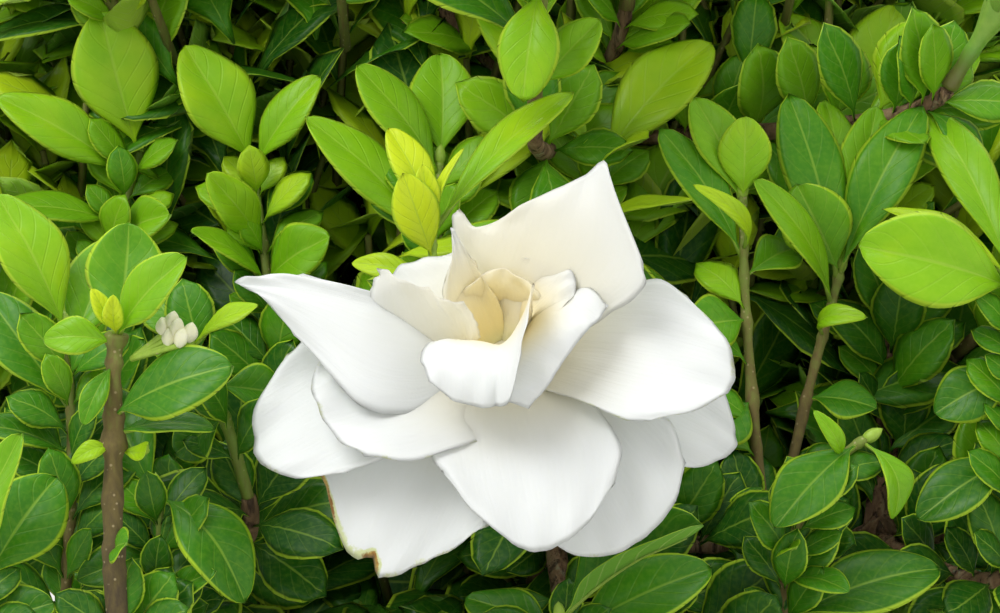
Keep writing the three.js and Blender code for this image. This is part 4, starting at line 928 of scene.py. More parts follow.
def add_petal(shape, petal, columns, rows, seed):
    """Adds one petal round +Z, thick at its foot and thin and slightly waved at its margin."""
    spine, across = petal_spine(petal)
    phase = 3 * scatter(seed, 41)
    torn = petal.torn
    bitten = torn == 1  # the one petal whose margin the photo shows eaten away in two bites

    def place(s, t, side):
        edge = abs(s)
        corner = smooth(0.55, 1, edge) * smooth(0.72, 1, t)
        far = t * (1 + (through(petal.reach, (s + 1) / 2) - 1) * t) - 0.035 * corner
        tip = smooth(0.85, 1, t)
        far += tip * (0.008 + 0.022 * torn) * noise.noise(Vector((s * 6, 2, seed)))
        if bitten:
            far += tip * (0.03 * swell(s, 0.42, 0.14) - 0.05 * swell(s, 0.74, 0.1) - 0.052 * swell(s, 0.15, 0.09))
        step = min(int(far * SPINE_STEPS), SPINE_STEPS - 1)
        f = far * SPINE_STEPS - step
        (a, up_a), (b, up_b) = spine[step], spine[step + 1]
        half = through(petal.left if s < 0 else petal.right, far) * (1 - 0.1 * corner)
        lift = petal.cup[0 if s < 0 else 1] * s * s * sin(pi / 2 * min(1.6 * far, 1))
        if bitten:
            lift += 0.7 * smooth(0.9, 1, t) * swell(s, 0.44, 0.18)
        rim = max(edge**3, smooth(0.7, 1, t)) * smooth(0.15, 0.5, t)
        lift += rim * (0.55 * sin(7 * s + 9 * t + phase) + 0.3 * sin(15 * s - 8 * t + 2 * phase))
        if edge > 0.9:
            half += (edge - 0.9) * 10 * (0.3 + 2.2 * torn) * noise.noise(Vector((t * (9 + 6 * torn), s, seed)))
        lift += 0.35 * cos(3.2 * s + phase) * sin(pi * t)
        lift -= 0.5 * swell(s * half, 0, 1.6) * (1 - t) * smooth(0.05, 0.3, t)
        thick = side * PETAL_THICK / 2 * (1 - 0.45 * t) * (1 - edge**6) * min(1, 14 * t, 14 * (1 - t))
        up = up_a.lerp(up_b, f).normalized()
        return a.lerp(b, f) + across * (s * half + petal.aside * t) + up * (lift + thick)

    # cream is the throat's own cream on the innermost petals; on the others it is a painted shade near the axis
    def cream(s, t):
        p = place(s, t, 0)
        near_axis = hypot(p.x, p.y)
        if petal.seat > 3:
            return smooth(0, 8, p.z) * smooth(15, 3, near_axis)
        # painted shade: a cream tint towards the axis of the lower petals stands in for the shade and the green
        # light from the leaves at their foot
        return 0.5 * smooth(30, 6, near_axis)

    def worn(s, t):
        margin = max(smooth(0.9, 1, abs(s)), smooth(0.95 - 0.04 * torn, 1, t))
        if bitten:
            margin *= 0.56 + 0.56 * max(swell(s, 0.8, 0.2), swell(s, 0.1, 0.12)) if s > 0 else 0.36
        return petal.wear * margin

    shape.sheet(columns, rows, place, (0, 0), {"cream": cream, "wear": worn})


def placed(flower):
    """Where a shape round +Z stands in its flower's place."""
    (at, way), size = flower[2], flower[3]
    turn = UP.rotation_difference(way).to_matrix().to_4x4()
    return Matrix.Translation(at) @ turn @ Matrix.Scale(size, 4)


# ---------------------------------------------------------------- settings
def colour(name, description, code):
    return FloatVectorProperty(
        name=name, description=description, subtype="COLOR", size=4, min=0, max=1, default=linear(code)
    )


class GARDENIA_PG_foliage(bpy.types.PropertyGroup):
    """Sizes and colours of the leaves."""

    shoots: IntProperty(name="Inner shoots", description="Leafy shoots inside the crown", default=400, min=0)
    leaf_length: FloatProperty(
        name="Inner leaf length", description="Length of a leaf inside the crown", default=0.031, unit="LENGTH"
    )
    new_leaf: colour("New leaf", "Upper face of a leaf that has just opened", "#cfe424")
    young_leaf: colour("Young leaf", "Upper face of a leaf of this season", "#86be12")
    leaf: colour("Leaf", "Upper face of a full-grown leaf", "#458a0e")
    old_leaf: colour("Old leaf", "Upper face of a leaf of last season", "#1d5610")
    vein: colour("Vein", "Midrib and side veins from above", "#a8cc48")
    margin: colour("Margin", "The thin margin of a leaf", "#c3e83a")


class GARDENIA_PG_flowers(bpy.types.PropertyGroup):
    """Colours of the blooms."""

    petal: colour("Petal", "Petal in the light", "#e8ebe9")
    # the throat colour also tints the lower petals near the axis, as a painted shade
    throat: colour("Throat", "Petal in the hollow of the bloom", "#f7e9b8")
    bruise: colour("Bruise", "Browned margin", "#8a5a26")


class GARDENIA_PG_wood(bpy.types.PropertyGroup):
    """Colours of the branches."""

    bark: colour("Bark", "Bark between its cracks", "#86694c")
    bark_dark: colour("Dark bark", "Bark in its hollows", "#54402f")
    bark_pale: colour("Pale bark", "Weathered bark", "#ab9474")


class GARDENIA_PG_pot(bpy.types.PropertyGroup):
    """The pot and what it holds."""

    clay: colour("Clay", "Fired clay", "#b5643f")
    clay_pale: colour("Pale clay", "Fired clay where it is driest", "#c9825c")
    soil: colour("Soil", "Damp potting mix", "#38271b")
    crumbs: IntProperty(name="Crumbs", description="Crumbs, chips and grains on the soil", default=420, min=0)


class GARDENIA_PG_stage(bpy.types.PropertyGroup):
    """Floor, light and camera."""

    floor: colour("Floor", "Pale board under the pot", "#e4e4e0")
    key: FloatProperty(name="Key light", description="Soft light above the camera", default=9.4, unit="POWER")
    sky: FloatProperty(name="Sky", description="Strength of the light from all round", default=0.7)


class GARDENIA_PG_settings(bpy.types.PropertyGroup):
    """All settings of the potted gardenia."""

    foliage: PointerProperty(type=GARDENIA_PG_foliage)
    flowers: PointerProperty(type=GARDENIA_PG_flowers)
    wood: PointerProperty(type=GARDENIA_PG_wood)
    pot: PointerProperty(type=GARDENIA_PG_pot)
    stage: PointerProperty(type=GARDENIA_PG_stage)


def leaf_finishes(context):
    foliage = context.scene.gardenia.foliage
    return [waxy_leaf(foliage), leaf_back(foliage), green_stem(foliage)]


# ---------------------------------------------------------------- operators
def run(a, b, steps, first, last):
    """Points of a profile at even steps of the way from a to b, first to last."""
    return [(mix(a[0], b[0], i / steps), mix(a[1], b[1], i / steps)) for i in range(first, last + 1)]


class GARDENIA_OT_pot(bpy.types.Operator):
    """Models the clay pot with its rolled rim, throwing lines and drain holes"""

    bl_idname = "gardenia.pot"
    bl_label = "Pot"

    def execute(self, context):
        foot, side, rim, top, base = POT.foot, POT.shoulder, POT.rim_radius, POT.height, POT.floor
        ledge = top - POT.rim_depth
        profile = [(0, 0.6), (30, 0.4), (52, 0), (foot - 1.6, 0), (foot, 1.8)]
        for i, (r, z) in enumerate(run((foot, 2), (side, ledge), 52, 1, 51), 1):
            profile.append((r + (0.16 * sin(i * 1.7) + 0.1 * sin(i * 0.63)), z))
        profile += [(side, ledge - 0.6), (side + 0.8, ledge), (rim - 2, ledge), (rim - 0.9, ledge + 0.8)]
        profile += [(rim - 1 + 0.04 * i, ledge + 2 + 2.5 * i) for i in range(8)]
        profile += [(rim - 0.1, top - 2), (rim - 0.7, top - 0.6), (rim - 1.9, top), (rim - 5, top)]
        profile.append((rim - 6.2, top - 0.8))
        profile += run((79.4, top - 2.4), (side - POT.wall, ledge - 2), 12, 0, 12)
        profile += run((side - POT.wall, ledge - 2), (foot - POT.wall, base + 1), 30, 1, 29)
        profile += [(foot - POT.wall - 1.2, base), (30, base), (0, base)]
        bm = bmesh.new()
        verts = [bm.verts.new((r, 0, z)) for r, z in profile]
        edges = [bm.edges.new(pair) for pair in zip(verts, verts[1:])]
        bmesh.ops.spin(
            bm, geom=verts + edges, cent=(0, 0, 0), axis=(0, 0, 1), dvec=(0, 0, 0), angle=2 * pi, steps=112,
            use_merge=True,
        )
        bmesh.ops.remove_doubles(bm, verts=bm.verts[:], dist=1e-3)
        for v in bm.verts:
            wobble = 0.25 * noise.noise(Vector((v.co.x, v.co.y, v.co.z)) * 0.03)
            v.co.x *= 1 + wobble / 80
            v.co.y *= 1 + wobble / 80
        bmesh.ops.recalc_face_normals(bm, faces=bm.faces[:])
        for face in bm.faces:
            face.smooth = True
        self.drill(piece_of(bm, "clay_pot", [fired_clay(context.scene.gardenia.pot)], "clay", "pot"))
        return {"FINISHED"}

    def drill(self, piece):
        """Cuts the drain holes through the floor, slightly wider below."""
        bm = bmesh.new()
        for i in range(DRAINS.count):
            middle = polar(DRAINS.ring, 2 * pi * i / DRAINS.count, 4) * MM
            bmesh.ops.create_cone(
                bm, cap_ends=True, segments=32, radius1=(DRAINS.radius + 0.6) * MM,
                radius2=(DRAINS.radius - 0.3) * MM, depth=24 * MM, matrix=Matrix.Translation(middle),
            )
        drill = mesh_of(bm, "drains")
        cut = piece.modifiers.new("drains", "BOOLEAN")
        cut.operation, cut.object, cut.solver = "DIFFERENCE", drill, "EXACT"
        bpy.context.view_layer.update()
        drilled = bpy.data.meshes.new_from_object(piece.evaluated_get(bpy.context.evaluated_depsgraph_get()))
        piece.modifiers.clear()
        piece.data = drilled
        bpy.data.objects.remove(drill)


class GARDENIA_OT_soil(bpy.types.Operator):
    """Models the domed soil with its crumbs, bark chips, perlite grains and moss"""

    bl_idname = "gardenia.soil"
    bl_label = "Soil"

    def surface(self, x, y):
        """The height of the soil at x, y."""
        dome = SOIL.dome * max(1 - (hypot(x, y) / SOIL.radius) ** 2, 0)
        lump = 1.3 * noise.noise(Vector((x, y, 3)) * 0.06) + 0.9 * noise.noise(Vector((x, y, 9)) * 0.16)
        return SOIL.top - 0.6 + dome + lump + 0.55 * noise.noise(Vector((x, y, 5)) * 0.45)

    def scattered(self, count, widest, seed, clear):
        """Places on the soil that are clear of the trunk: each one's number, x, y and height."""
        for i in range(count):
            r, turn = widest * sqrt((scatter(i, seed) + 1) / 2), pi * scatter(i, seed + 1)
            if r >= TRUNK_RADIUS + clear:
                x, y = r * cos(turn), r * sin(turn)
                yield i, x, y, self.surface(x, y)

    def execute(self, context):
        pot = context.scene.gardenia.pot
        soil = Shape()
        depth = [(0, 9.4), (50.6, 9.4), (71.6, 124), (75.4, SOIL.top - 2)]
        rings = 40

        def profile(t, angle):
            row = round(t * (rings + 3))
            if row <= 3:
                return depth[row]
            r = 75.6 * (1 - (row - 4) / (rings - 1))
            return max(r, 0), self.surface(r * cos(angle), r * sin(angle))

        soil.turned(120, rings + 3, profile)
        soil.finish("soil_bed", [potting_soil(pot)], "soil", "soil")

        crumbs = Shape()
        for i, x, y, z in self.scattered(pot.crumbs, 73, 51, 3):
            self.add_crumb(crumbs.bm, i, x, y, z)
        crumbs.finish("soil_crumbs", [pine_bark(pot), potting_soil(pot), perlite(pot)], "soil")

        moss = Shape()
        for seed, x, y, z in self.scattered(16, 69, 61, 8):
            wide = 5 + 2.2 * scatter(seed, 63)

            def cushion(t, angle):
                edge = 1 + 0.22 * sin(3 * angle + seed) + 0.12 * sin(7 * angle - seed)
                bump = 0.4 * noise.noise(Vector((wide * cos(angle) * t, wide * sin(angle) * t, seed)) * 1.1)
                if t < 0.5:
                    return wide * edge * 2 * t, -1.2
                up = (t - 0.5) * 2
                return wide * edge * cos(up * pi / 2), -1.2 + 3.1 * sin(up * pi / 2) + bump * up

            since = len(moss.bm.verts)
            moss.turned(28, 18, cushion)
            moss.move(Matrix.Translation((x, y, z)), since)
        moss.finish("soil_moss", [moss_cushion(pot)], "soil")
        return {"FINISHED"}

    def add_crumb(self, bm, i, x, y, z):
        """Adds a bark chip, a perlite grain or a crumb of soil, roughened by a small draw at each corner."""
        tilt = Matrix.Rotation(3 * scatter(i, 53), 4, "Z") @ Matrix.Rotation(0.5 * scatter(i, 54), 4, "X")
        if i % 7 == 0:
            slot = 0
            scale = Matrix.Diagonal((5.5 + 2 * scatter(i, 55), 2.8 + scatter(i, 56), 0.9, 1))
            made = bmesh.ops.create_cube(bm, size=1, matrix=Matrix.Translation((x, y, z + 0.4)) @ tilt @ scale)
            edges = {e for v in made["verts"] for e in v.link_edges}
            faces = bmesh.ops.bevel(
                bm, geom=list(edges), offset=0.22, segments=1, affect="EDGES", profile=0.5, material=-1
            )["faces"]
        else:
            slot = 2 if i % 7 == 3 else 1
            size = (1.5 if slot == 2 else 1.0) * (0.9 + 0.35 * scatter(i, 57))
            scale = Matrix.Diagonal((size, size * (0.8 + 0.2 * scatter(i, 58)), size * 0.7, 1))
            matrix = Matrix.Translation((x, y, z + 0.35 * size)) @ tilt @ scale
            made = bmesh.ops.create_icosphere(bm, subdivisions=1, radius=1, matrix=matrix)
            faces = {f for v in made["verts"] for f in v.link_faces}
        corners = {v for f in faces for v in f.verts}
        for v in corners:
            v.co += Vector([0.16 * scatter(v.co.x * 9 + k, v.co.y * 7 + v.co.z) for k in range(3)])
        for face in {f for v in corners for f in v.link_faces}:
            face.material_index = slot


class GARDENIA_OT_branches(bpy.types.Operator):
    """Models the trunk, its scaffold branches and the twigs that lead to each shoot and flower"""

    bl_idname = "gardenia.branches"
    bl_label = "Branches"

    def execute(self, context):
        wood = Shape()
        bole = [UP * (SOIL.top + SOIL.dome - 35), UP * (SOIL.top + 8), FORK]

        def knobbly(radius, tip, seed, rings):
            def thick(t, angle):
                knot = sum(0.16 * swell(t, (k + 0.5) / rings, 0.012) for k in range(rings))
                lump = 0.09 * noise.noise(Vector((cos(angle) * 1.5, sin(angle) * 1.5, t * 9 + seed)))
                return mix(radius, tip, t) * (1 + knot + lump)

            return thick

        def flare(t, angle):
            root = 0.5 * swell(t, 0.36, 0.16) * (1 + 0.4 * sin(5 * angle))
            return knobbly(TRUNK_RADIUS, TRUNK_RADIUS * 0.8, 1, 6)(t, angle) * (1 + root)

        scaffolds, twigs = wood_lines()
        limbs = [(bole, flare, 22, 44)]
        limbs += [(points, knobbly(4.2, 2.4, i + 3, 9), 14, 46) for i, points in enumerate(scaffolds)]
        limbs += [(points, knobbly(2.0, tip, i + 20, 5), 9, 22) for i, (points, tip) in enumerate(twigs)]
        for points, radius, sides, rows in limbs:
            wood.tube(lambda t: on_curve(points, t)[0], radius, sides, rows, 0)
        wood.finish("branches", [woody_bark(context.scene.gardenia.wood)], "bark", "trunk")
        return {"FINISHED"}


class GARDENIA_OT_spurs(bpy.types.Operator):
    """Models the leaves that stand in threes along the wood, below the leaves of the shoots"""

    bl_idname = "gardenia.spurs"
    bl_label = "Leaves along the wood"

    def hides(self, point, share):
        """Whether a leaf there would cover a flower or the tip of the left shoot, or leave the crown."""
        right, up, near = seen_at(point)
        if near > (-34 if up > -6 else -14) and (right / 52) ** 2 + ((up + 3) / 46) ** 2 < 1:
            return True
        if any(near > back and a < right < b and low < up < high for back, a, b, low, high in KEPT_OPEN):
            return True
        return covers_flower(point, FLOWERS[1:]) or beyond_crown(point, share)

    def lines(self):
        """What the leaves stand along: its points, their length, their age with painted shade, and how far out they
        may reach.
        """
        scaffolds, twigs = wood_lines()
        lines = [(points, 17, 0.7, 1.05) for points in scaffolds]
        for points, radius in twigs:
            lines.append((points, 14, 0.5, 1.3) if beyond_crown(points[1], 0.95) else (points, 18, 0.62, 1.05))
        lines += [(shoot[1], 13, 0.5, 1.2) for shoot in front_shoots()[1:]]
        for name, (root, end), *_ in crown_shoots():
            lines.append(([root, root.lerp(end, 0.75 if in_front(root.lerp(end, 0.3)) else 0.3)], 18, 0.4, 1.05))
        return lines

    def leaf(self, seed, k, points, whorls, length, older):
        """The leaf of this number along the line, turned towards the eye where the photo shows it."""
        draw = lambda n: scatter(seed + n, k)
        eye = seen_way(0, 0, 1)
        at, way = on_curve(points, mix(0.1, 0.9, (k // 3 + 0.5) / whorls))
        right, up, near = seen_at(at)
        front = smooth(-175, -120, near)
        sideways = way.cross(UP if abs(way.z) < 0.9 else Vector((1, 0, 0))).normalized()
        turn = (k // 3) * pi / 3 + k * pi / 1.5 + 0.5 * draw(1)
        outwards = sideways * cos(turn) + way.cross(sideways) * sin(turn)
        along = outwards + way * (0.5 + 0.3 * draw(2)) + UP * 0.35
        along = (along - eye * (along.dot(eye) * 0.6 * front)).normalized()
        long = length * (1 + 0.28 * draw(3))
        # painted shade and light: lower leaves are made older, so darker, and higher ones younger, so lighter
        age = older + mix(0.36, -0.16, smooth(-45, 42, up)) + 0.2 * draw(6)
        return dict(
            base=at + outwards * mix(1, 0.6, front) + eye * (1.3 * front),
            tip=at + along * long + eye * (2 * front),
            face=UP + way * 0.4 - outwards * 0.2 + eye * (1.3 * front),
            width=long * (0.52 + 0.06 * draw(4)), bend=0.1 + 0.05 * draw(5), age=min(max(age, 0), 1),
        )

    def execute(self, context):
        finishes = leaf_finishes(context)
        shape, part = Shape("age"), 1
        for i, (foot, tip, width, age, bend, face) in enumerate(WOOD_LEAVES):
            leaf = dict(base=seen(*foot), tip=seen(*tip), face=seen_way(*face), width=width, bend=bend, age=age)
            add_leaf(shape, leaf, 10, 18, SEEDS.wood + i)
        for i, (points, length, older, share) in enumerate(self.lines()):
            whorls = max(int((points[-1] - points[0]).length / 6.5), 2)
            for k in range(3 * whorls):
                leaf = self.leaf(500 + i * 7, k, points, whorls, length, older)
                if not any(self.hides(leaf["base"].lerp(leaf["tip"], f), share) for f in (0.5, 1)):
                    add_leaf(shape, leaf, 5, 8, SEEDS.spurs + 40 * i + k, fine=False)
            if len(shape.bm.faces) > MOST_FACES:
                shape.finish(f"spur_leaves_{part}", finishes, "leaf")
                shape, part = Shape("age"), part + 1
        shape.finish(f"spur_leaves_{part}", finishes, "leaf")
        return {"FINISHED"}


class GARDENIA_OT_blooms(bpy.types.Operator):
    """Models the open blooms, petal by petal"""

    bl_idname = "gardenia.blooms"
    bl_label = "Blooms"

    def execute(self, context):
        white = petal_tissue(context.scene.gardenia.flowers)
        for index, flower in enumerate(FLOWERS):
            name, kind = flower[:2]
            if kind == "bud":
                continue
            shape = Shape("cream", "wear")
            full = kind == "full"
            petals = OUTER + MIDDLE + INNER if full else OUTER[:5] + MIDDLE[:2] + INNER[3:]
            for i, each in enumerate(petals):
                add_petal(shape, each, *((30, 36) if full else (18, 22)), 60 * index + i)
            for i in range(0 if full else 3):
                heart = petal(
                    120 * i + 20, [89, 84, 70], 9, [2, 3, 3, 2], [2, 3, 3, 2], (2, 2), seat=3, out=1.6, wear=0
                )
                add_petal(shape, heart, 12, 14, 60 * index + 40 + i)
            foot = lambda t, a: mix(2.4, 4.6, t * t) * (1 + 0.05 * cos(5 * a))
            shape.tube(lambda t: UP * mix(-CALYX.below, 5, t), foot, 20, 12, 0, {"cream": 0.35})
            shape.move(placed(flower))
            shape.finish(name + "_petals", [white], "petal", name)
        return {"FINISHED"}


class GARDENIA_OT_buds(bpy.types.Operator):
    """Models the closed buds, whose petals are wound round them"""

    bl_idname = "gardenia.buds"
    bl_label = "Buds"

    def execute(self, context):
        skin = bud_tissue(context.scene.gardenia.flowers)
        for flower in FLOWERS:
            if flower[1] != "bud":
                continue
            shape = Shape("cream")

            def wound(t, angle):
                z = -cos(pi * t)
                turns = 5 * (angle / (2 * pi) - 0.35 * z) % 1
                ridge = 0.9 + 0.24 * turns**1.5 * smooth(1, 0.93, turns)
                waist = sin(pi * t) ** 0.92 * BUD.radius * ridge * (1 - 0.35 * z)
                return waist, BUD.length / 2 * (1 + z) - CALYX.below

            def free_edge(x, y):
                t = (y + 1) / 2
                turns = 5 * ((pi * x % (2 * pi)) / (2 * pi) + 0.35 * cos(pi * t)) % 1
                return 0.2 + 0.45 * t + 0.4 * smooth(0.5, 0.95, turns)

            shape.turned(100, 64, wound, {"cream": free_edge})
            shape.move(placed(flower))
            shape.finish(flower[0] + "_furled", [skin], "bud", flower[0])
        return {"FINISHED"}


class GARDENIA_OT_calyces(bpy.types.Operator):
    """Models the ribbed green cup, narrow lobes and stalk under each flower"""

    bl_idname = "gardenia.calyces"
    bl_label = "Calyces"

    def execute(self, context):
        skin = calyx_skin(context.scene.gardenia.foliage)
        for flower in FLOWERS:
            top = -CALYX.below - GAP / flower[3]
            foot = top - CALYX.length - CALYX.stem
            shape = Shape("age")

            def cup(t, angle):
                z = mix(foot - 0.4, top, min(t / 0.9, 1))
                rib = 1 + 0.09 * cos(5 * angle) * smooth(0.4, 0.7, t)
                wide = mix(CALYX.stem_radius, CALYX.radius, smooth(0.42, 0.85, t)) * rib
                wide *= 1 + 0.12 * sin(20 * t) * (1 - smooth(0.3, 0.45, t))
                if t < 0.03 or t > 0.97:
                    return 0, z - (0.9 if t > 0.9 else 0)
                return wide * (1 if t <= 0.9 else 1 - 0.6 * (t - 0.9) / 0.1), z - 0.9 * smooth(0.9, 1, t)

            shape.turned(30, 34, cup, {"age": lambda x, y: mix(1, 0.35, smooth(-0.8, 0.1, y))})
            for i in range(5):
                out = polar(1, 2 * pi * i / 5 + pi / 2)
                base = out * (CALYX.radius * 0.7) + UP * (top - 5)
                tip = base + (UP * cos(radians(32)) + out * sin(radians(32))) * 14
                side = UP.cross(out)

                def lobe(s, t, face):
                    half = 1.5 * sin(pi * mix(0.22, 1, t)) ** 0.8
                    bow = 1.6 * sin(pi * t)
                    fold = 0.3 * abs(s) * half
                    thick = face * 0.4 * (1 - s * s) * min(1, 9 * (1 - t), 9 * t)
                    return base.lerp(tip, t) + side * (s * half) + out * (bow * 0.5 - fold - thick)

                shape.sheet(6, 14, lobe, (0, 0), {"age": lambda s, t: mix(0.45, 0.05, t)})
            shape.move(placed(flower))
            shape.finish(flower[0] + "_cup", [skin], "calyx", flower[0] + "_calyx")
        return {"FINISHED"}


class GARDENIA_OT_front_shoots(bpy.types.Operator):
    """Models the leafy shoots that are seen round the front bloom"""

    bl_idname = "gardenia.front_shoots"
    bl_label = "Front shoots"

    def execute(self, context):
        finishes = leaf_finishes(context) + [bud_tissue(context.scene.gardenia.flowers)]
        for index, (name, points, old, knots, leaves) in enumerate(front_shoots()):
            shape = Shape("age", "cream")
            add_stem(shape, points, knots, index, old, 1.3 if old > 0.9 else 0.8, 12, 48)
            add_leaves(shape, name, leaves, 12, 34, SEEDS.front + 100 * index)
            if name == "front_shoot_left":
                self.add_old_buds(shape)
            shape.finish(name + "_leafy", finishes, "leaf", name)
        return {"FINISHED"}

    def add_old_buds(self, shape):
        """Adds the cluster of small pale flower buds beside the left shoot's tip."""
        start = seen(-64.5, 0.5, 6)
        for i, place in enumerate(BUD_CLUSTER):
            middle = seen(*place)
            way = seen_way(0.3 * scatter(i, 71), 1, 0.4 * scatter(i, 72)).normalized()
            shape.tube(lambda t: start.lerp(middle - way * 1.4, t), lambda t, a: 0.55, 6, 6, 2, {"age": 0.1})
            fold = lambda t, a: 1.3 * sin(pi * mix(0.05, 1, t)) ** 0.7 * (1 + 0.14 * cos(4 * a + 2 * t))
            shape.tube(lambda t: middle + way * (3.6 * t - 1.8), fold, 16, 12, 3, {"cream": 0.75})


class GARDENIA_OT_crown_shoots(bpy.types.Operator):
    """Models the leafy shoots that stand round the crown"""

    bl_idname = "gardenia.crown_shoots"
    bl_label = "Crown shoots"

    def execute(self, context):
        finishes = leaf_finishes(context)
        for index, (name, points, old, knots, leaves) in enumerate(crown_shoots()):
            shape = Shape("age")
            add_stem(shape, points, knots, 50 + index, old)
            add_leaves(shape, name, leaves, 8, 20, SEEDS.crown + 100 * index)
            shape.finish(name + "_leafy", finishes, "leaf", name)
        return {"FINISHED"}


class GARDENIA_OT_inner_foliage(bpy.types.Operator):
    """Models the many small leafy shoots that fill the crown"""

    bl_idname = "gardenia.inner_foliage"
    bl_label = "Inner foliage"

    def hides(self, point):
        """Whether a leaf there would hide a flower or the shoots round the front bloom, or leave the crown."""
        right, up, near = seen_at(point)
        unseen = near < -40 and (right / 34) ** 2 + ((up + 4) / 27) ** 2 < 1
        if abs(right) < 101 and -66 < up < 78 and near > (-92 if up > -42 else -42) and not unseen:
            return True
        return covers_flower(point, FLOWERS) or beyond_crown(point)

    def stems(self, count):
        """Where the shoots stand: through the crown, then behind the front bloom as they are seen. Each is its
        stem's two ends and how far the age of its leaves is raised, which behind the bloom also paints shade low
        down and light high up."""
        low, high = sin(radians(-30)), sin(radians(86))
        for i in range(count):
            depth = mix(0.98, 0.5, ((scatter(i, 81) + 1) / 2) ** 1.2)
            climb = asin(mix(high, low, (i + 0.5) / count))
            at, way = on_crown(i * GOLDEN * 1.37 + 0.4 * scatter(i, 82), climb, 0, depth)
            way = (way + Vector([0.35 * scatter(i, 83 + k) for k in range(3)])).normalized()
            yield [at - way * 46, at], mix(0.3, -0.12, smooth(0.5, 1, depth))
        columns, rows, layers = 17, 12, (-112, -150, -185, -64)
        for i in range(columns * rows * len(layers)):
            column, row, layer = i % columns, i // columns % rows, i // (columns * rows)
            right = -128 + 16 * (column + 0.5 * (row % 2)) + 6 * scatter(i, 91)
            up = -86 + 15 * row + 6 * scatter(i, 92)
            near = layers[layer] + 14 * scatter(i, 93) + (40 if up < -44 else 0)
            at = seen(right, up, near)
            way = seen_way(0.45 * scatter(i, 94), 1, 0.55 + 0.4 * scatter(i, 95)).normalized()
            # painted shade and light: behind the bloom, low leaves are made older, so darker, and high ones younger,
            # so lighter
            yield [at - way * 40, at], mix(0.36, -0.46, smooth(-40, 34, up + 12 * scatter(i, 96)))

    def kept(self, seed, points, length, older, taken):
        """A shoot's leaves, each in the first of its places that is free and hides nothing. taken is the cells
        of the crown, 6 mm wide, that hold the middle of a leaf already."""
        for places in paired_leaves(seed, points, length, [0, 14, -12]):
            for leaf in places:
                middle = leaf["base"].lerp(leaf["tip"], 0.55)
                cell = tuple(int(c // 6) for c in middle)
                if cell not in taken and not any(map(self.hides, (leaf["tip"], middle, leaf["base"]))):
                    taken.add(cell)
                    leaf["age"] = min(max(leaf["age"] + older, 0.13), 1)
                    yield leaf
                    break

    def execute(self, context):
        foliage = context.scene.gardenia.foliage
        finishes = leaf_finishes(context)
        taken = set()
        shape, part = Shape("age"), 1
        for i, (points, older) in enumerate(self.stems(foliage.shoots)):
            leaves = list(self.kept(1000 + i, points, foliage.leaf_length / MM, older, taken))
            if leaves and not any(self.hides(point) or beyond_crown(point, 0.9) for point in points):
                line = lambda t: on_curve(points, t)[0]
                shape.tube(line, lambda t, a: mix(1.1, 0.7, t), 4, 2, 2, {"age": 0.6})
            for k, leaf in enumerate(leaves):
                add_leaf(shape, leaf, 4, 5, SEEDS.inner + 10 * i + k, fine=False)
            if len(shape.bm.faces) > MOST_FACES:
                shape.finish(f"inner_foliage_{part}", finishes, "leaf")
                shape, part = Shape("age"), part + 1
        shape.finish(f"inner_foliage_{part}", finishes, "leaf")
        return {"FINISHED"}


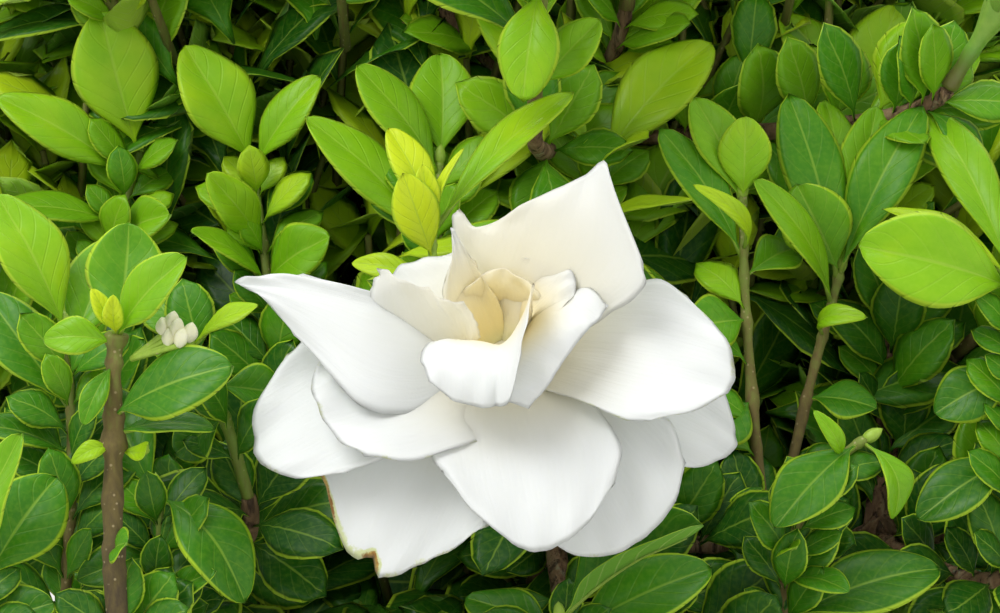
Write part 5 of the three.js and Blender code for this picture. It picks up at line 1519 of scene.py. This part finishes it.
class GARDENIA_OT_stage(bpy.types.Operator):
    """Sets out the floor, the soft lights and the camera"""

    bl_idname = "gardenia.stage"
    bl_label = "Stage"

    def light(self, name, power, size, at, towards):
        data = bpy.data.lights.new(name, "AREA")
        data.energy, data.size = power, size
        lamp = bpy.data.objects.new(name, data)
        lamp.location = at
        lamp.rotation_mode = "QUATERNION"
        lamp.rotation_quaternion = (Vector(towards) - Vector(at)).to_track_quat("-Z", "Y")
        bpy.context.scene.collection.objects.link(lamp)

    def execute(self, context):
        scene = context.scene
        stage = scene.gardenia.stage
        bm = bmesh.new()
        bmesh.ops.create_grid(bm, x_segments=1, y_segments=1, size=4)
        board = mesh_of(bm, "floor")
        board.data.materials.append(floor_card(stage))

        scene.world = bpy.data.worlds.new("Studio")
        scene.world.use_nodes = True
        sky = scene.world.node_tree.nodes["Background"].inputs
        sky["Color"].default_value = linear("#fbfaf8")
        sky["Strength"].default_value = stage.sky
        self.light("key", stage.key, 0.7, (-0.6, -0.45, 1.35), (0, -0.08, 0.28))
        self.light("fill", stage.key * 0.3, 1.4, (1.2, -0.9, 0.7), (0, 0, 0.25))
        self.light("back", stage.key, 1.2, (0.1, 0.75, 1.4), (0, 0, 0.3))

        camera = bpy.data.cameras.new("camera")
        camera.sensor_width = 36
        camera.lens = 36 * EYE.away / 175  # the photo's frame is 175 mm wide at the bloom
        eye = bpy.data.objects.new("camera", camera)
        eye.location = (FRONT_BLOOM + seen_way(0, EYE.up, 0) + seen_way(0, 0, EYE.away)) * MM
        eye.rotation_euler = (radians(90) - EYE.down, 0, 0)
        scene.collection.objects.link(eye)
        scene.camera = eye
        scene.view_settings.view_transform = "Standard"
        return {"FINISHED"}


class GARDENIA_PT_panel(bpy.types.Panel):
    """The sidebar panel with the settings and the steps of the potted gardenia"""

    bl_idname = "GARDENIA_PT_panel"
    bl_label = "Potted gardenia"
    bl_space_type = "VIEW_3D"
    bl_region_type = "UI"
    bl_category = "Gardenia"

    def draw(self, context):
        settings = context.scene.gardenia
        for group in ("foliage", "flowers", "wood", "pot", "stage"):
            box = self.layout.box()
            box.label(text=group.capitalize())
            part = getattr(settings, group)
            for key in part.__annotations__:
                box.prop(part, key)
        for step in STEPS:
            self.layout.operator(step.bl_idname)


STEPS = (
    GARDENIA_OT_stage, GARDENIA_OT_pot, GARDENIA_OT_soil, GARDENIA_OT_branches, GARDENIA_OT_spurs,
    GARDENIA_OT_blooms, GARDENIA_OT_buds, GARDENIA_OT_calyces, GARDENIA_OT_front_shoots,
    GARDENIA_OT_crown_shoots, GARDENIA_OT_inner_foliage,
)
GROUPS = (
    GARDENIA_PG_foliage, GARDENIA_PG_flowers, GARDENIA_PG_wood, GARDENIA_PG_pot, GARDENIA_PG_stage,
    GARDENIA_PG_settings,
)


def register():
    for kind in (*GROUPS, *STEPS, GARDENIA_PT_panel):
        bpy.utils.register_class(kind)
    bpy.types.Scene.gardenia = PointerProperty(type=GARDENIA_PG_settings)


def unregister():
    del bpy.types.Scene.gardenia
    for kind in reversed((*GROUPS, *STEPS, GARDENIA_PT_panel)):
        bpy.utils.unregister_class(kind)


def main():
    register()
    for step in STEPS:
        getattr(bpy.ops.gardenia, step.bl_idname.split(".")[1])()
    bpy.context.view_layer.update()


if __name__ == "__main__":
    main()
